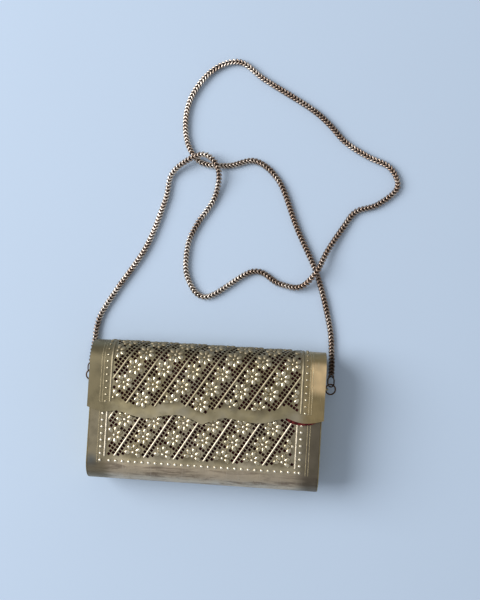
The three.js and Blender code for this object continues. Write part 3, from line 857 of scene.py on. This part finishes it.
lowest = min(up for _, up in lid_lower_edge)
print("scallop:", len(lid_lower_edge), "points, lowest", round(lowest, 2), "mm")

# %% [markdown]
# The pattern is a slanting lattice. Ribs cut the field into bands, a row of flowers runs along each
# band, and small square holes fill what is left, in rows along the ribs. One class works out all of
# it from a few sizes: the holes for the sheet, and the lines and spots for the raised work.

# %% Pattern of ribs, flowers and holes
rib_spacing = 22.4
rib_radius = 0.85
flower_pitch = 14.2
petals = 7
petal_ring = 4.2
petal_half_width = 1.75
petal_half_length = 2.4
petal_turn = 0.25
petal_in_field = 1.5
centre_size = 1.2
centre_in_field = 0.8
flower_radius = petal_ring + petal_half_length
hole_size = 2.1
hole_clearance = 0.72
hole_pitch = 2.65
hole_in_field = 1.0
mark_in_field = 0.3
rows_between_ribs = 7
first_row = 1.85
bands_each_side = 9
flower_rows = range(-4, 8)
flower_overhang = 2
holes_below = 12
row_run_on = 40
rib_lead = 12
field_margin = 18.5
bar_margin = 17.2
bead_margin = 14
bead_pitch = 5
fine_lines = (9.5, 11.5)
fine_line_radius = 0.22


def petal_angles():
    return [2 * math.pi * (k + petal_turn) / petals for k in range(petals)]


class Pattern:
    """Works on the flat sheet, with x along the bag and up towards its top."""

    def __init__(self, ribs, flowers, low, high, shift=0, free=lambda x, up: True):
        self.low, self.high, self.shift, self.free = low, high, shift, free
        self.rib_start, self.rib_level, self.angle = ribs
        self.flower_row, self.flower_shift, self.flower_fall = flowers
        self.along = Vector((math.cos(self.angle), math.sin(self.angle)))
        self.across = Vector((math.sin(self.angle), -math.cos(self.angle)))
        self.reach = half_width - field_margin
        self.bands = range(-bands_each_side, bands_each_side + 1)
        self.flowers = [Vector(spot) for spot in self.flower_spots()]

    def rib_x(self, up):
        return self.rib_start + (up - self.rib_level) / math.tan(self.angle)

    def inside(self, x, up, margin=0.0):
        across = abs(x - self.shift) <= self.reach - margin
        return across and self.low(x) + margin <= up <= self.high - margin and self.free(x, up)

    def flower_spots(self):
        step = flower_pitch * math.sin(self.angle)
        for band in self.bands:
            for row in flower_rows:
                middle = (band + 0.5) * rib_spacing + self.flower_shift
                level = self.flower_row + row * step
                up = level - self.flower_fall * (self.rib_x(level) + middle)
                x = self.rib_x(up) + middle
                across = abs(x - self.shift) < self.reach + flower_overhang
                if across and self.low(x) - flower_overhang < up < self.high + flower_overhang:
                    yield x, up

    def lattice(self):
        width = rib_spacing * math.sin(self.angle)
        step = (width - 2 * first_row) / (rows_between_ribs - 1)
        count = int((self.high - self.low(0) + row_run_on) / hole_pitch)
        for band in self.bands:
            start = Vector((self.rib_x(self.low(0)) + band * rib_spacing, self.low(0)))
            for row in range(rows_between_ribs):
                for k in range(-holes_below, count):
                    yield start + self.across * (first_row + row * step) + self.along * (k * hole_pitch)

    def holes_and_marks(self):
        holes, marks = [], []
        for spot in self.lattice():
            if not self.inside(*spot, margin=mark_in_field):
                continue
            flower = min(self.flowers, key=lambda place: (spot - place).length)
            clear = self.inside(*spot, margin=hole_in_field) and self.clears_petals(spot - flower)
            (holes if clear else marks).append(spot)
        return holes, marks

    def clears_petals(self, offset):
        if offset.length < petal_ring:
            return False
        for angle in petal_angles():
            out = Vector((math.sin(angle), math.cos(angle)))
            apart = offset - petal_ring * out
            along = apart.dot(out) / (petal_half_length + hole_clearance)
            aside = (apart.x * out.y - apart.y * out.x) / (petal_half_width + hole_clearance)
            if math.hypot(along, aside) < 1:
                return False
        return True

    def rib_lines(self, step=1.6):
        for band in self.bands:
            line, up = [], self.low(0) - rib_lead
            while up <= self.high:
                x = self.rib_x(up) + band * rib_spacing
                if self.inside(x, up):
                    line.append((x, up))
                up += step * math.sin(self.angle)
            if len(line) > 2:
                yield line

    def petal_spots(self):
        for flower in self.flowers:
            for angle in petal_angles():
                spot = flower + petal_ring * Vector((math.sin(angle), math.cos(angle)))
                if self.inside(*spot, margin=petal_in_field):
                    yield (*spot, -angle, 1.0)

    def centre_spots(self):
        for flower in self.flowers:
            if self.inside(*flower, margin=centre_in_field):
                yield (*flower, 0.0, centre_size)


lid_band = 7.6
lid_field_behind = 3
lid_pattern = Pattern(
    ribs=(-10.7, 10, math.radians(57)), flowers=(6.3, -1.2, 0.02),
    low=lambda x: max(0.0, lid_band - scallop_drop(x)),
    high=lid_wrap.on_back_arc + lid_field_behind,
)
body_field_low = -33.5
body_field_top = 3.2
clasp_reach = 8
clasp_low = 0.6
body_shift = -2
body_pattern = Pattern(
    ribs=(8.9, -20, math.radians(59)), flowers=(-17.7, 0.8, 0.0),
    low=lambda x: body_field_low,
    high=body_field_top,
    shift=body_shift,
    free=lambda x, y: abs(x) > clasp_reach or y < clasp_low,
)
print("flowers: lid", len(lid_pattern.flowers), "body", len(body_pattern.flowers))

# %% [markdown]
# A pierced sheet could be cut by booleans, but a thousand holes make that slow and ragged. A
# constrained Delaunay triangulation is quick and exact: it is given the outline, every hole and
# some loose points, and returns triangles that respect them all. The flat result is bent point by
# point, doubled for thickness and closed along every edge. Each hole narrows towards its back,
# so its rim catches the light. Smooth normals are set from the bent surface itself.

# %% Making a pierced, bent sheet
hole_corner = 0.3
hole_taper = 0.86
column_width = 5
scallop_rows = (-7, -5.5, -4, -2.5)
mark_to_edge, mark_to_field = 0.8, 1.0
tint_reach = 0.6
flower_edge = 0.3
field_tint, flower_tint = 0.25, 0.7


def square_hole(middle, along, across):
    half, cut = hole_size / 2, hole_size / 2 - hole_corner
    quarter = [(half, cut), (cut, half)]
    ring = []
    for _ in range(4):
        ring += [middle + along * a - across * b for a, b in quarter]
        quarter = [(-b, a) for a, b in quarter]
    return ring


def flat_triangles(outline, holes, marks):
    points = [Vector(p) for p in outline]
    rings = [list(range(len(points)))]
    owner = {}
    for number, ring in enumerate(holes):
        rings.append(list(range(len(points), len(points) + len(ring))))
        owner.update({index: number for index in rings[-1]})
        points += ring
    points += [Vector(p) for p in marks]
    found = delaunay_2d_cdt(points, [], rings, 1, 1e-4)
    flat, triangles, first_of, ring_of = found[0], found[2], found[3], found[5]
    kept = [t for t, rings_here in zip(triangles, ring_of) if 0 in rings_here and len(rings_here) == 1]
    owners = [next((owner[k] for k in inputs if k in owner), None) for inputs in first_of]
    return flat, kept, owners


def bent_sheet(name, wrap, to_s, outline, holes, marks, tarnish):
    flat, triangles, owners = flat_triangles(outline, holes, marks)
    middles = [sum(ring, Vector((0, 0))) / len(ring) for ring in holes]
    count = len(flat)
    tops = [wrap.at(p.x, to_s(p.y)) for p in flat]
    backs = []
    for p, owner in zip(flat, owners):
        q = p if owner is None else middles[owner] + (p - middles[owner]) * hole_taper
        backs.append(wrap.at(q.x, to_s(q.y), -sheet))
    used = {}
    for a, b, c in triangles:
        for edge in ((a, b), (b, c), (c, a)):
            used[edge] = True
    rims = [(a, b) for a, b in used if (b, a) not in used]
    fronts = [tuple(t) for t in triangles]
    rears = [(c + count, b + count, a + count) for a, b, c in triangles]
    walls = [(b, a, a + count, b + count) for a, b in rims]
    piece = mesh_object(name, tops + backs, fronts + rears + walls)
    mesh = piece.data
    out = [wrap.facing(to_s(p.y)) for p in flat]
    normals = []
    for face in mesh.polygons:
        for index in face.vertices:
            if len(face.vertices) == 4:
                normals.append(face.normal.copy())
            else:
                normals.append(out[index] if index < count else -out[index - count])
    for face in mesh.polygons[len(fronts) + len(rears):]:
        face.material_index = 0 if owners[face.vertices[0]] is None else 1
    mesh.shade_smooth()
    mesh.normals_split_custom_set(normals)
    set_attribute(mesh, "tarnish", [tarnish(p.x, p.y) for p in flat] * 2)
    print(name, len(holes), "holes,", len(mesh.polygons), "faces")
    return piece


def border_marks(outline_low, rows, half, inside):
    columns = int(2 * half / column_width)
    for up in rows:
        for k in range(1, columns):
            x = -half + 2 * half * k / columns
            if up > outline_low(x) + mark_to_edge and not inside(x, up, -mark_to_field):
                yield x, up


# %% Lid sheet
def field_tarnish(pattern):
    def tarnish(x, up):
        if not pattern.inside(x, up, -tint_reach):
            return 0.0
        near = min((Vector((x, up)) - flower).length for flower in pattern.flowers)
        return flower_tint if near < flower_radius + flower_edge else field_tint
    return tarnish


def lid_sheet():
    holes, marks = lid_pattern.holes_and_marks()
    along, across = lid_pattern.along, lid_pattern.across
    rings = [square_hole(spot, along, across) for spot in holes]
    rows = lid_wrap.rows(0, lid_wrap.length)
    right = [(half_width, s) for s in rows[1:]]
    left = [(-half_width, s) for s in reversed(rows[1:])]
    columns = int(2 * half_width / column_width)
    back = [(half_width - 2 * half_width * k / columns, lid_wrap.length) for k in range(1, columns)]
    outline = lid_lower_edge + right + back + left
    inner = [*scallop_rows, *rows[:-1]]
    loose = border_marks(lambda x: -scallop_drop(x), inner, half_width, lid_pattern.inside)
    marks += [Vector(p) for p in loose]
    tarnish = field_tarnish(lid_pattern)
    return bent_sheet("lid_sheet", lid_wrap, lid_s, outline, rings, marks, tarnish)


dress(lid_sheet(), lid_metal, "lid", "lid_metal", "lid_shell", inside=hole_wall_painted_shade)

# %% [markdown]
# The body's sheet is made in the same way, from the mouth behind the lid, down the front, round the
# bottom and up the back to the hinge. Only its front is pierced.

# %% Body sheet


def body_sheet():
    holes, marks = body_pattern.holes_and_marks()
    rings = [square_hole(spot, body_pattern.along, body_pattern.across) for spot in holes]
    heights = [mouth - s for s in body_wrap.rows(0, body_wrap.length)]
    last = heights[-1]
    columns = int(2 * body_end / column_width)
    spread = [body_end - 2 * body_end * k / columns for k in range(columns + 1)]
    outline = [(x, mouth) for x in spread] + [(-body_end, y) for y in heights[1:]]
    outline += [(-x, last) for x in spread[1:]] + [(body_end, y) for y in reversed(heights[1:-1])]
    loose = border_marks(lambda x: last, heights[1:-1], body_end, body_pattern.inside)
    marks += [Vector(p) for p in loose]
    tarnish = field_tarnish(body_pattern)
    return bent_sheet("body_sheet", body_wrap, body_s, outline, rings, marks, tarnish)


dress(body_sheet(), body_metal, "body", "body_metal", "body_shell", inside=hole_wall_painted_shade)

# %% [markdown]
# The raised work is struck into the sheet from behind. Petals are little teardrop domes, beads are
# round ones. Each shape is made once, with a skirt that sinks into the sheet, and the spots tree sets
# it all over the lid and the body.

# %% Shapes of a petal and a bead
petal_height = 0.95
petal_lean = 1.0
petal_flare = 0.22
bead_height = 0.8
dome_sides = 10
dome_skirt = 0.35


def dome(name, outline, height, lean=0.0):
    shares = [(1.0, -dome_skirt), (1.0, 0.0), (0.87, 0.58 * height), (0.55, 0.92 * height)]
    count = len(outline)
    points = []
    for share, z in shares:
        points += [Vector((x * share, y * share + lean * (1 - share), z)) for x, y in outline]
    points.append(Vector((0, lean, height)))
    faces = [tuple(reversed(range(count)))]
    for ring in range(len(shares) - 1):
        faces += band(ring * count, (ring + 1) * count, count)
    last = (len(shares) - 1) * count
    faces += [(last + n, last + (n + 1) % count, len(points) - 1) for n in range(count)]
    return mesh_object(name, points, faces)


def drop_outline(wide, long, flare=0.0):
    angles = [2 * math.pi * k / dome_sides for k in range(dome_sides)]
    return [(wide * math.cos(a) * (1 + flare * math.sin(a)), long * math.sin(a)) for a in angles]


def petal_shape():
    outline = drop_outline(petal_half_width, petal_half_length, petal_flare)
    return dome("petal", outline, petal_height, petal_lean)


def bead_shape():
    return dome("bead", drop_outline(1.0, 1.0), bead_height)


# %% Petals, beads and ribs of the lid and the body


def on(wrap, to_s, spots):
    made = []
    for x, up, spin, size in spots:
        s = to_s(up)
        made.append({"place": wrap.at(x, s), "facing": wrap.facing(s), "spin": spin, "size": size})
    return made


def bent_lines(wrap, to_s, lines):
    return [on(wrap, to_s, [(x, up, 0, 1) for x, up in line]) for line in lines]


def straight(x0, up0, x1, up1, step=1.5):
    count = max(2, int(math.hypot(x1 - x0, up1 - up0) / step))
    return [(x0 + (x1 - x0) * k / count, up0 + (up1 - up0) * k / count) for k in range(count + 1)]


def upright(margin, low, high, shift=0):
    places = [shift + side * (half_width - margin) for side in (-1, 1)]
    return [straight(x, low, x, high) for x in places]


def raised_work(prefix, wrap, to_s, pattern, beads, bars, lines, finishes, slot):
    bead_finish, rib_finish = finishes
    petal_places = on(wrap, to_s, pattern.petal_spots())
    bead_places = on(wrap, to_s, [*pattern.centre_spots(), *beads])
    ribs = bent_lines(wrap, to_s, [*pattern.rib_lines(), *bars])
    scribed = bent_lines(wrap, to_s, lines)
    pieces = [
        (set_on_spots(prefix + "_petals", petal_places, petal_shape(), petal_metal), petal_metal),
        (set_on_spots(prefix + "_beads", bead_places, bead_shape(), bead_finish), bead_finish),
        (set_on_lines(prefix + "_ribs", ribs, rib_radius, rib_finish), rib_finish),
        (set_on_lines(prefix + "_fine_lines", scribed, fine_line_radius, line_metal), line_metal),
    ]
    for piece, finish in pieces:
        dress(piece, finish, prefix, slot)


lid_low_line = 3.8
lid_side_low = 4.5
lid_high = lid_pattern.high
side_beads = int((lid_high - lid_side_low) / bead_pitch) + 1
lid_beads = []
lid_lines = [line for margin in fine_lines for line in upright(margin, lid_low_line, lid_high)]
for side in (-1, 1):
    column = side * (half_width - bead_margin)
    lid_beads += [(column, lid_side_low + bead_pitch * k, 0, 1) for k in range(side_beads)]
    outer, inner = (side * (half_width - margin) for margin in (fine_lines[0], bar_margin))
    lid_lines.append(straight(outer, lid_low_line, inner, lid_low_line))
raised_work(
    "lid", lid_wrap, lid_s, lid_pattern, lid_beads, upright(bar_margin, lid_side_low, lid_high),
    lid_lines, (petal_metal, lid_rib_metal), "lid_metal",
)

bead_row = -(half_height - corner)
body_bead_size = 1.2
beads_each_way = 14
beads_upward = 8
body_work_top = 1.0
body_lines_low = bead_row - 2
body_bars_low = body_field_low - 0.5
row_places = range(-beads_each_way, beads_each_way + 1)
body_beads = [(bead_pitch * k, bead_row, 0, body_bead_size) for k in row_places]
for side in (-1, 1):
    column = body_shift + side * (half_width - bead_margin)
    body_beads += [(column, bead_row + bead_pitch * k, 0, body_bead_size) for k in range(beads_upward)]
body_lines = [line for margin in fine_lines for line in upright(margin, body_lines_low, body_work_top)]
body_bars = upright(bar_margin, body_bars_low, body_work_top, body_shift)
raised_work(
    "body", body_wrap, body_s, body_pattern, body_beads, body_bars,
    body_lines, (bead_metal_painted_highlight, body_rib_metal), "body_metal",
)

# %% [markdown]
# The flat ends are plates cut to the bag's section. A ring of points for the outline, repeated at a
# few depths with a small inset, gives a plate with softly rounded edges.

# %% End plates


def arc_points(centre_y, centre_z, radius, start_deg, stop_deg, count=14):
    angles = [math.radians(start_deg + (stop_deg - start_deg) * k / count) for k in range(count + 1)]
    return [(centre_y + radius * math.cos(a), centre_z + radius * math.sin(a)) for a in angles]


def end_outline(inset):
    lid_corner = corner - sheet - seat - inset
    body_corner = corner - solder - inset
    straight_part = half_height - corner
    front = body_front - solder - inset
    outline = [(body_back, solder + inset)]
    outline += arc_points(-straight_part, corner, body_corner, -90, -180)
    outline += arc_points(-straight_part, front - body_corner, body_corner, 180, 90)
    outline += arc_points(straight_part, front - lid_corner, lid_corner, 90, 0)
    outline += arc_points(straight_part, corner, lid_corner, 0, -90)
    return outline + [(body_back, sheet + seat + inset)]


def flat_plate(name, side, levels):
    rings = [[Vector((side * x, y, z)) for y, z in end_outline(inset)] for x, inset in levels]
    count = len(rings[0])
    faces = [tuple(range(count)), tuple(reversed([(len(rings) - 1) * count + n for n in range(count)]))]
    for ring in range(len(rings) - 1):
        a, b = ring * count, (ring + 1) * count
        faces += [(a + n, b + n, b + (n + 1) % count, a + (n + 1) % count) for n in range(count)]
    return smooth(outward(mesh_object(name, [p for ring in rings for p in ring], faces)), 30)


edge_round = 0.2
plate_levels = [
    (plate_inner, edge_round), (plate_inner + edge_round, 0),
    (plate_outer - edge_round, 0), (plate_outer, edge_round),
]
for side, label in ((-1, "left"), (1, "right")):
    plate = flat_plate(label + "_plate", side, plate_levels)
    dress(plate, plate_metal, "body", "plate_metal", label + "_end_plate")

# %% [markdown]
# The lining is velvet on card, glued a little inside the metal. It is a sheet, and the size the lid's
# lining was cut to is worked out at the end. Its back edge stops at the hinge, and along the lid's right
# corner its lower edge has come loose and shows as a strip of red below the scallop.

# %% Linings
lining = 0.6
lining_out = sheet + seat
lining_end = low_and_high("body_lining")[1].x
lining_columns = 60
loose_from, loose_to, loose_drop = 60, 85.5, 6.6
loose_lift = 0.2
loose_thickness = 0.22
loose_rows = 3
# Painted light: this many rows of the loose strip are painted a brighter red.
painted_lit_rows = 2
loose_corner = 0.35
puff_height = 0.06
puff_across, puff_along = 9, 11


def lining_sheet(name, wrap, first_s, last_s, half, lower=lambda x: 0.0):
    columns = lining_columns
    rows = wrap.rows(first_s, last_s, coarse=4)
    xs = [-half + 2 * half * k / columns for k in range(columns + 1)]
    outer, inner = [], []
    rng = random.Random(7)
    phase_x, phase_s = rng.uniform(0, 6.28), rng.uniform(0, 6.28)
    for n, s in enumerate(rows):
        for x in xs:
            start = lower(x) * max(0.0, 1 - n / loose_rows)
            wave = math.sin(x / puff_across + phase_x) * math.sin(s / puff_along + phase_s)
            puff = puff_height * wave
            lift, thick = (loose_lift, loose_thickness) if start < 0 else (0.0, lining)
            outer.append(wrap.at(x, s + start, lift - lining_out))
            inner.append(wrap.at(x, s + start, lift - lining_out - thick + puff))
    count, width = len(outer), columns + 1
    faces = []
    for r in range(len(rows) - 1):
        for c in range(columns):
            a, b = r * width + c, (r + 1) * width + c
            faces.append((a, a + 1, b + 1, b))
            faces.append((count + a, count + b, count + b + 1, count + a + 1))
    rim = list(range(width)) + [r * width + columns for r in range(1, len(rows))]
    rim += [(len(rows) - 1) * width + c for c in range(columns - 1, -1, -1)]
    rim += [r * width for r in range(len(rows) - 2, 0, -1)]
    for a, b in zip(rim, rim[1:] + rim[:1]):
        faces.append((b, a, count + a, count + b))
    piece = smooth(outward(mesh_object(name, outer + inner, faces)), 50)
    # Painted light: the first rows of the loose edge are marked to take the brighter red.
    loose = [1.0 if lower(x) < 0 and n < painted_lit_rows else 0.0 for n in range(len(rows)) for x in xs]
    set_attribute(piece.data, "loose", loose * 2)
    return piece


def loose_edge(x):
    if not loose_from < x < loose_to:
        return 0.0
    share = (x - loose_from) / (loose_to - loose_from)
    return -loose_drop * math.sin(math.pi * share) ** loose_corner


leaf_width = 3
lining_gap = 2
lid_lining = lining_sheet(
    "lid_velvet", lid_wrap, lining_gap, lid_wrap.length - leaf_width, lining_end, loose_edge,
)
dress(lid_lining, lining_velvet, "lid", "lining", "lid_lining")
body_lining = lining_sheet(
    "body_velvet", body_wrap, lining_gap, body_wrap.length - leaf_width, lining_end,
)
dress(body_lining, lining_velvet, "body", "lining", "body_lining")

end_inset = sheet + seat + lining + seat
end_round = 0.15
end_face = plate_inner - seat
end_levels = [
    (end_face - lining, end_inset + end_round), (end_face - edge_round, end_inset), (end_face, end_inset),
]
for side, label in ((-1, "left"), (1, "right")):
    velvet_end = flat_plate(label + "_end_velvet", side, end_levels)
    dress(velvet_end, lining_velvet, "body", "lining", label + "_end_lining")

# %% [markdown]
# A piano hinge joins lid and body along the back: two thin leaves, five knuckles that take turns, and
# a pin. The knuckles are short tubes with softened ends, set on spots along the pin by the tree.

# %% Hinge
barrel = 1.5
bore = 0.8
pin_radius = 0.7
leaf_thickness = 0.6
knuckles = 5
knuckle_gap = 0.3
knuckle_round = 0.15
pin_end_radius, pin_end = 0.45, 0.25
hinge_low, hinge_high = low_and_high("hinge_pin")
hinge_length = hinge_high.x - hinge_low.x
half_hinge = hinge_length / 2
tab_start = bore * 1.2


def turned(name, profile, sides=28, closed=True):
    """A ring profile of (distance along X, radius), turned about X."""
    points, faces, count = [], [], len(profile)
    for n in range(sides):
        a = 2 * math.pi * n / sides
        points += [Vector((x, r * math.cos(a), r * math.sin(a))) for x, r in profile]
    for n in range(sides):
        for k in range(count if closed else count - 1):
            a, b = n * count + k, n * count + (k + 1) % count
            c, d = (n + 1) % sides * count + (k + 1) % count, (n + 1) % sides * count + k
            faces.append((a, b, c, d))
    if not closed:
        faces += [tuple(n * count + end for n in range(sides)) for end in (0, count - 1)]
    return smooth(outward(mesh_object(name, points, faces)), 35)


def merged(name, *parts):
    shape = bmesh.new()
    for part in parts:
        shape.from_mesh(part.data)
        bpy.data.objects.remove(part)
    return object_from(name, shape)


def soft_box(name, low, high, edge=0.12):
    shape = bmesh.new()
    bmesh.ops.create_cube(shape, size=1)
    size = Vector(high) - Vector(low)
    middle = (Vector(high) + Vector(low)) / 2
    for vertex in shape.verts:
        vertex.co = Vector(a * b for a, b in zip(vertex.co, size)) + middle
    bmesh.ops.bevel(shape, geom=shape.edges[:], offset=edge, segments=2, affect="EDGES", profile=0.5)
    for vertex in shape.verts:
        vertex.co *= MM
    return object_from(name, shape)


def hinge_leaf(name, side, owned):
    pitch = (hinge_length + knuckle_gap) / knuckles
    half = (pitch - knuckle_gap) / 2
    near = hinge_y + side * (barrel + knuckle_gap)
    low_z = sheet + solder
    high_z = low_z + leaf_thickness
    ys = sorted((near, near + side * leaf_width))
    parts = [soft_box("strip", (-half_hinge, ys[0], low_z), (half_hinge, ys[1], high_z))]
    middles = [-half_hinge + k * pitch + half for k in owned]
    rim = [(half - knuckle_round, barrel), (half, barrel - knuckle_round), (half, bore)]
    profile = [(-x, r) for x, r in reversed(rim)] + rim
    spots = [{"place": Vector((x, hinge_y, hinge_z)), "facing": (0, 0, 1)} for x in middles]
    parts.append(set_on_spots("knuckles", spots, turned("knuckle", profile), hinge_metal))
    for x in middles:
        ys = sorted((hinge_y + side * tab_start, near + side * leaf_width / 2))
        parts.append(soft_box("tab", (x - half, ys[0], low_z), (x + half, ys[1], high_z)))
    return smooth(merged(name, *parts), 35)


for name, side, owned in (("body", -1, (0, 2, 4)), ("lid", 1, (1, 3))):
    leaf = hinge_leaf(name + "_leaf", side, owned)
    dress(leaf, hinge_metal, name, "hinge_metal", name + "_hinge_leaf")
pin_tip = [(half_hinge - pin_end, pin_radius), (half_hinge, pin_end_radius)]
pin_profile = [(-x, r) for x, r in reversed(pin_tip)] + pin_tip
pin = turned("pin", pin_profile, sides=20, closed=False)
pin.data.transform(Matrix.Translation(Vector((0, hinge_y, hinge_z)) * MM))
dress(pin, hinge_metal, "body", "hinge_metal", "hinge_pin")

# %% [markdown]
# The clasp is hidden: a thin plated magnet under the lid and a steel keeper behind the front wall. Both
# are low discs with a rounded rim and a shallow dimple, turned from one profile. A scrap of velvet is
# glued over the magnet, where it would shine through the holes of the lid.

# %% Clasp
disc_round = 0.2
disc_core = 0.2
dimple_depth, dimple_radius, dimple_rim = 0.15, 1.0, 1.3


def clasp_disc(name, node):
    low, high = low_and_high(node)
    radius, half = (high.x - low.x) / 2, (high.z - low.z) / 2
    dimple = dimple_depth - half
    profile = [
        (dimple, disc_core), (dimple, dimple_radius), (-half, dimple_rim),
        (-half, radius - disc_round), (disc_round - half, radius),
        (half - disc_round, radius), (half, radius - disc_round), (half, disc_core),
    ]
    disc = turned(name, profile, sides=40, closed=False)
    upright_turn = Matrix.Rotation(math.radians(-90), 4, "Y")
    disc.data.transform(Matrix.Translation((low + high) / 2 * MM) @ upright_turn)
    return outward(disc)


magnet_disc = clasp_disc("magnet_disc", "lid_magnet")
for face in magnet_disc.data.polygons:
    face.material_index = 1 if face.normal.z > -0.5 else 0
dress(magnet_disc, magnet_metal, "lid", "magnet", "lid_magnet", inside=lining_velvet)
dress(clasp_disc("keeper_disc", "clasp_keeper"), magnet_metal, "body", "magnet", "clasp_keeper")

# %% [markdown]
# The strap hangs on wire: an eye soldered to each end, a jump ring through it, and an oval loop on
# the end of the chain. All are swept along a line, with the ring left open by a hair where its
# ends were brought together.

# %% Lugs, jump rings and chain loops
wire_sides = 12
lug_wire, lug_radius, lug_reach = 0.7, 1.9, 3
lug_y, lug_z = 24, 7
ring_radius, ring_wire, ring_tilt = 3.9, 0.6, math.radians(8)
loop_radius, loop_wire, loop_stretch, loop_turn = 3.1, 0.5, 1.8, math.radians(50)
loop_slack = 0.8
ring_slit = math.radians(2)
eye_x = plate_outer + seat + lug_reach + lug_radius - lug_wire - seat - ring_wire
ring_x = eye_x + ring_radius * math.cos(ring_tilt)
ring_z = lug_z - ring_radius * math.sin(ring_tilt)
loop_y = lug_y + ring_radius - ring_wire - loop_slack - loop_wire + loop_radius + loop_stretch / 2


def wire_piece(name, points, radius, closed):
    made, faces = swept(points, radius, wire_sides, closed)
    return smooth(outward(mesh_object(name, made, faces)), 50)


def lug_line(side):
    start = plate_outer + seat
    points = [Vector((start, 0, -lug_radius)), Vector((start + lug_reach / 2, 0, -lug_radius))]
    for degrees in range(-90, 91, 10):
        a = math.radians(degrees)
        points.append(Vector((start + lug_reach + lug_radius * math.cos(a), 0, lug_radius * math.sin(a))))
    points += [Vector((start + lug_reach / 2, 0, lug_radius)), Vector((start, 0, lug_radius))]
    return [Vector((side * p.x, lug_y, lug_z + p.z)) for p in points]


def oval_line(radius, stretch, tilt, middle, slit=0.0, count=48):
    turn = Matrix.Rotation(tilt, 3, "Y")
    points = []
    for k in range(count + (1 if slit else 0)):
        a = slit / 2 + (2 * math.pi - slit) * k / count - math.pi / 2
        y = radius * math.sin(a)
        points.append(turn @ Vector((radius * math.cos(a), y + math.copysign(stretch / 2, y), 0)) + middle)
    return points


for side, label in ((-1, "left"), (1, "right")):
    eye = wire_piece(label + "_eye", lug_line(side), lug_wire, False)
    dress(eye, plate_metal, "body", "fittings", label + "_lug")
    middle = Vector((side * ring_x, lug_y, ring_z))
    line = oval_line(ring_radius, 0, side * ring_tilt, middle, ring_slit)
    ring = wire_piece(label + "_ring_wire", line, ring_wire, False)
    dress(ring, wire_metal, label + "_ring", "fittings", label + "_jump_ring")
    middle = Vector((side * ring_x, loop_y, ring_z))
    line = oval_line(loop_radius, loop_stretch, side * (ring_tilt - loop_turn), middle)
    loop = wire_piece(label + "_loop_wire", line, loop_wire, True)
    dress(loop, wire_metal, "body", "fittings", label + "_chain_loop")

# %% [markdown]
# The lid's lining is a sheet: this works out the size it was cut to and prints it.

tuple(Vector(route[0]) * MM)


def unfolded(wrap):
    bent = lining_out * math.pi
    return (2 * lining_end * MM, (wrap.length - leaf_width - lining_gap - bent) * MM)


print("lid lining", [round(v, 3) for v in unfolded(lid_wrap)])

# %% [markdown]
# The bag lies on a plain pale ground under soft light. A wide lamp from the upper left gives the
# shadow its direction, and an even sky fills the rest, so colours come out about as they are written.

# %% Ground and light
ground_colour, cloud_colour = (0.545, 0.66, 0.82), (0.50, 0.60, 0.735)
sky_colour, sky_strength = (0.96, 0.98, 1.0, 1), 0.4


def ground_finish():
    finish = Finish("pale_ground").set(Roughness=0.9, Specular_IOR_Level=0.1)
    cloud = finish.ramp(finish.noise(4, 3), 0.3, 0.7, 0, 0.12)
    return finish.wire(Base_Color=finish.mix(cloud, ground_colour, cloud_colour))


ground_size = 4000
ground_drop = 0.05
ground_corners = [(-1, -1), (1, -1), (1, 1), (-1, 1)]
ground_points = [(x * ground_size, y * ground_size, -ground_drop) for x, y in ground_corners]
ground = mesh_object("ground", ground_points, [(0, 1, 2, 3)])
ground.data.materials.append(ground_finish())


def lamp(name, place, aim, size, power):
    data = bpy.data.lights.new(name, "AREA")
    data.shape = "DISK"
    data.size = size
    data.energy = power
    made = linked(name, data)
    made.location = place
    made.rotation_euler = (Vector(aim) - Vector(place)).to_track_quat("-Z", "Y").to_euler()


lamp("key", place=(-2.1, 0.5, 1.7), aim=(0, 0.05, 0), size=2.2, power=80)
world = bpy.context.scene.world or bpy.data.worlds.new("sky")
bpy.context.scene.world = world
world.use_nodes = True
sky = world.node_tree.nodes["Background"]
sky.inputs["Color"].default_value = sky_colour
sky.inputs["Strength"].default_value = sky_strength
bpy.context.scene.view_settings.view_transform = "Standard"
print("ground and lamp set")
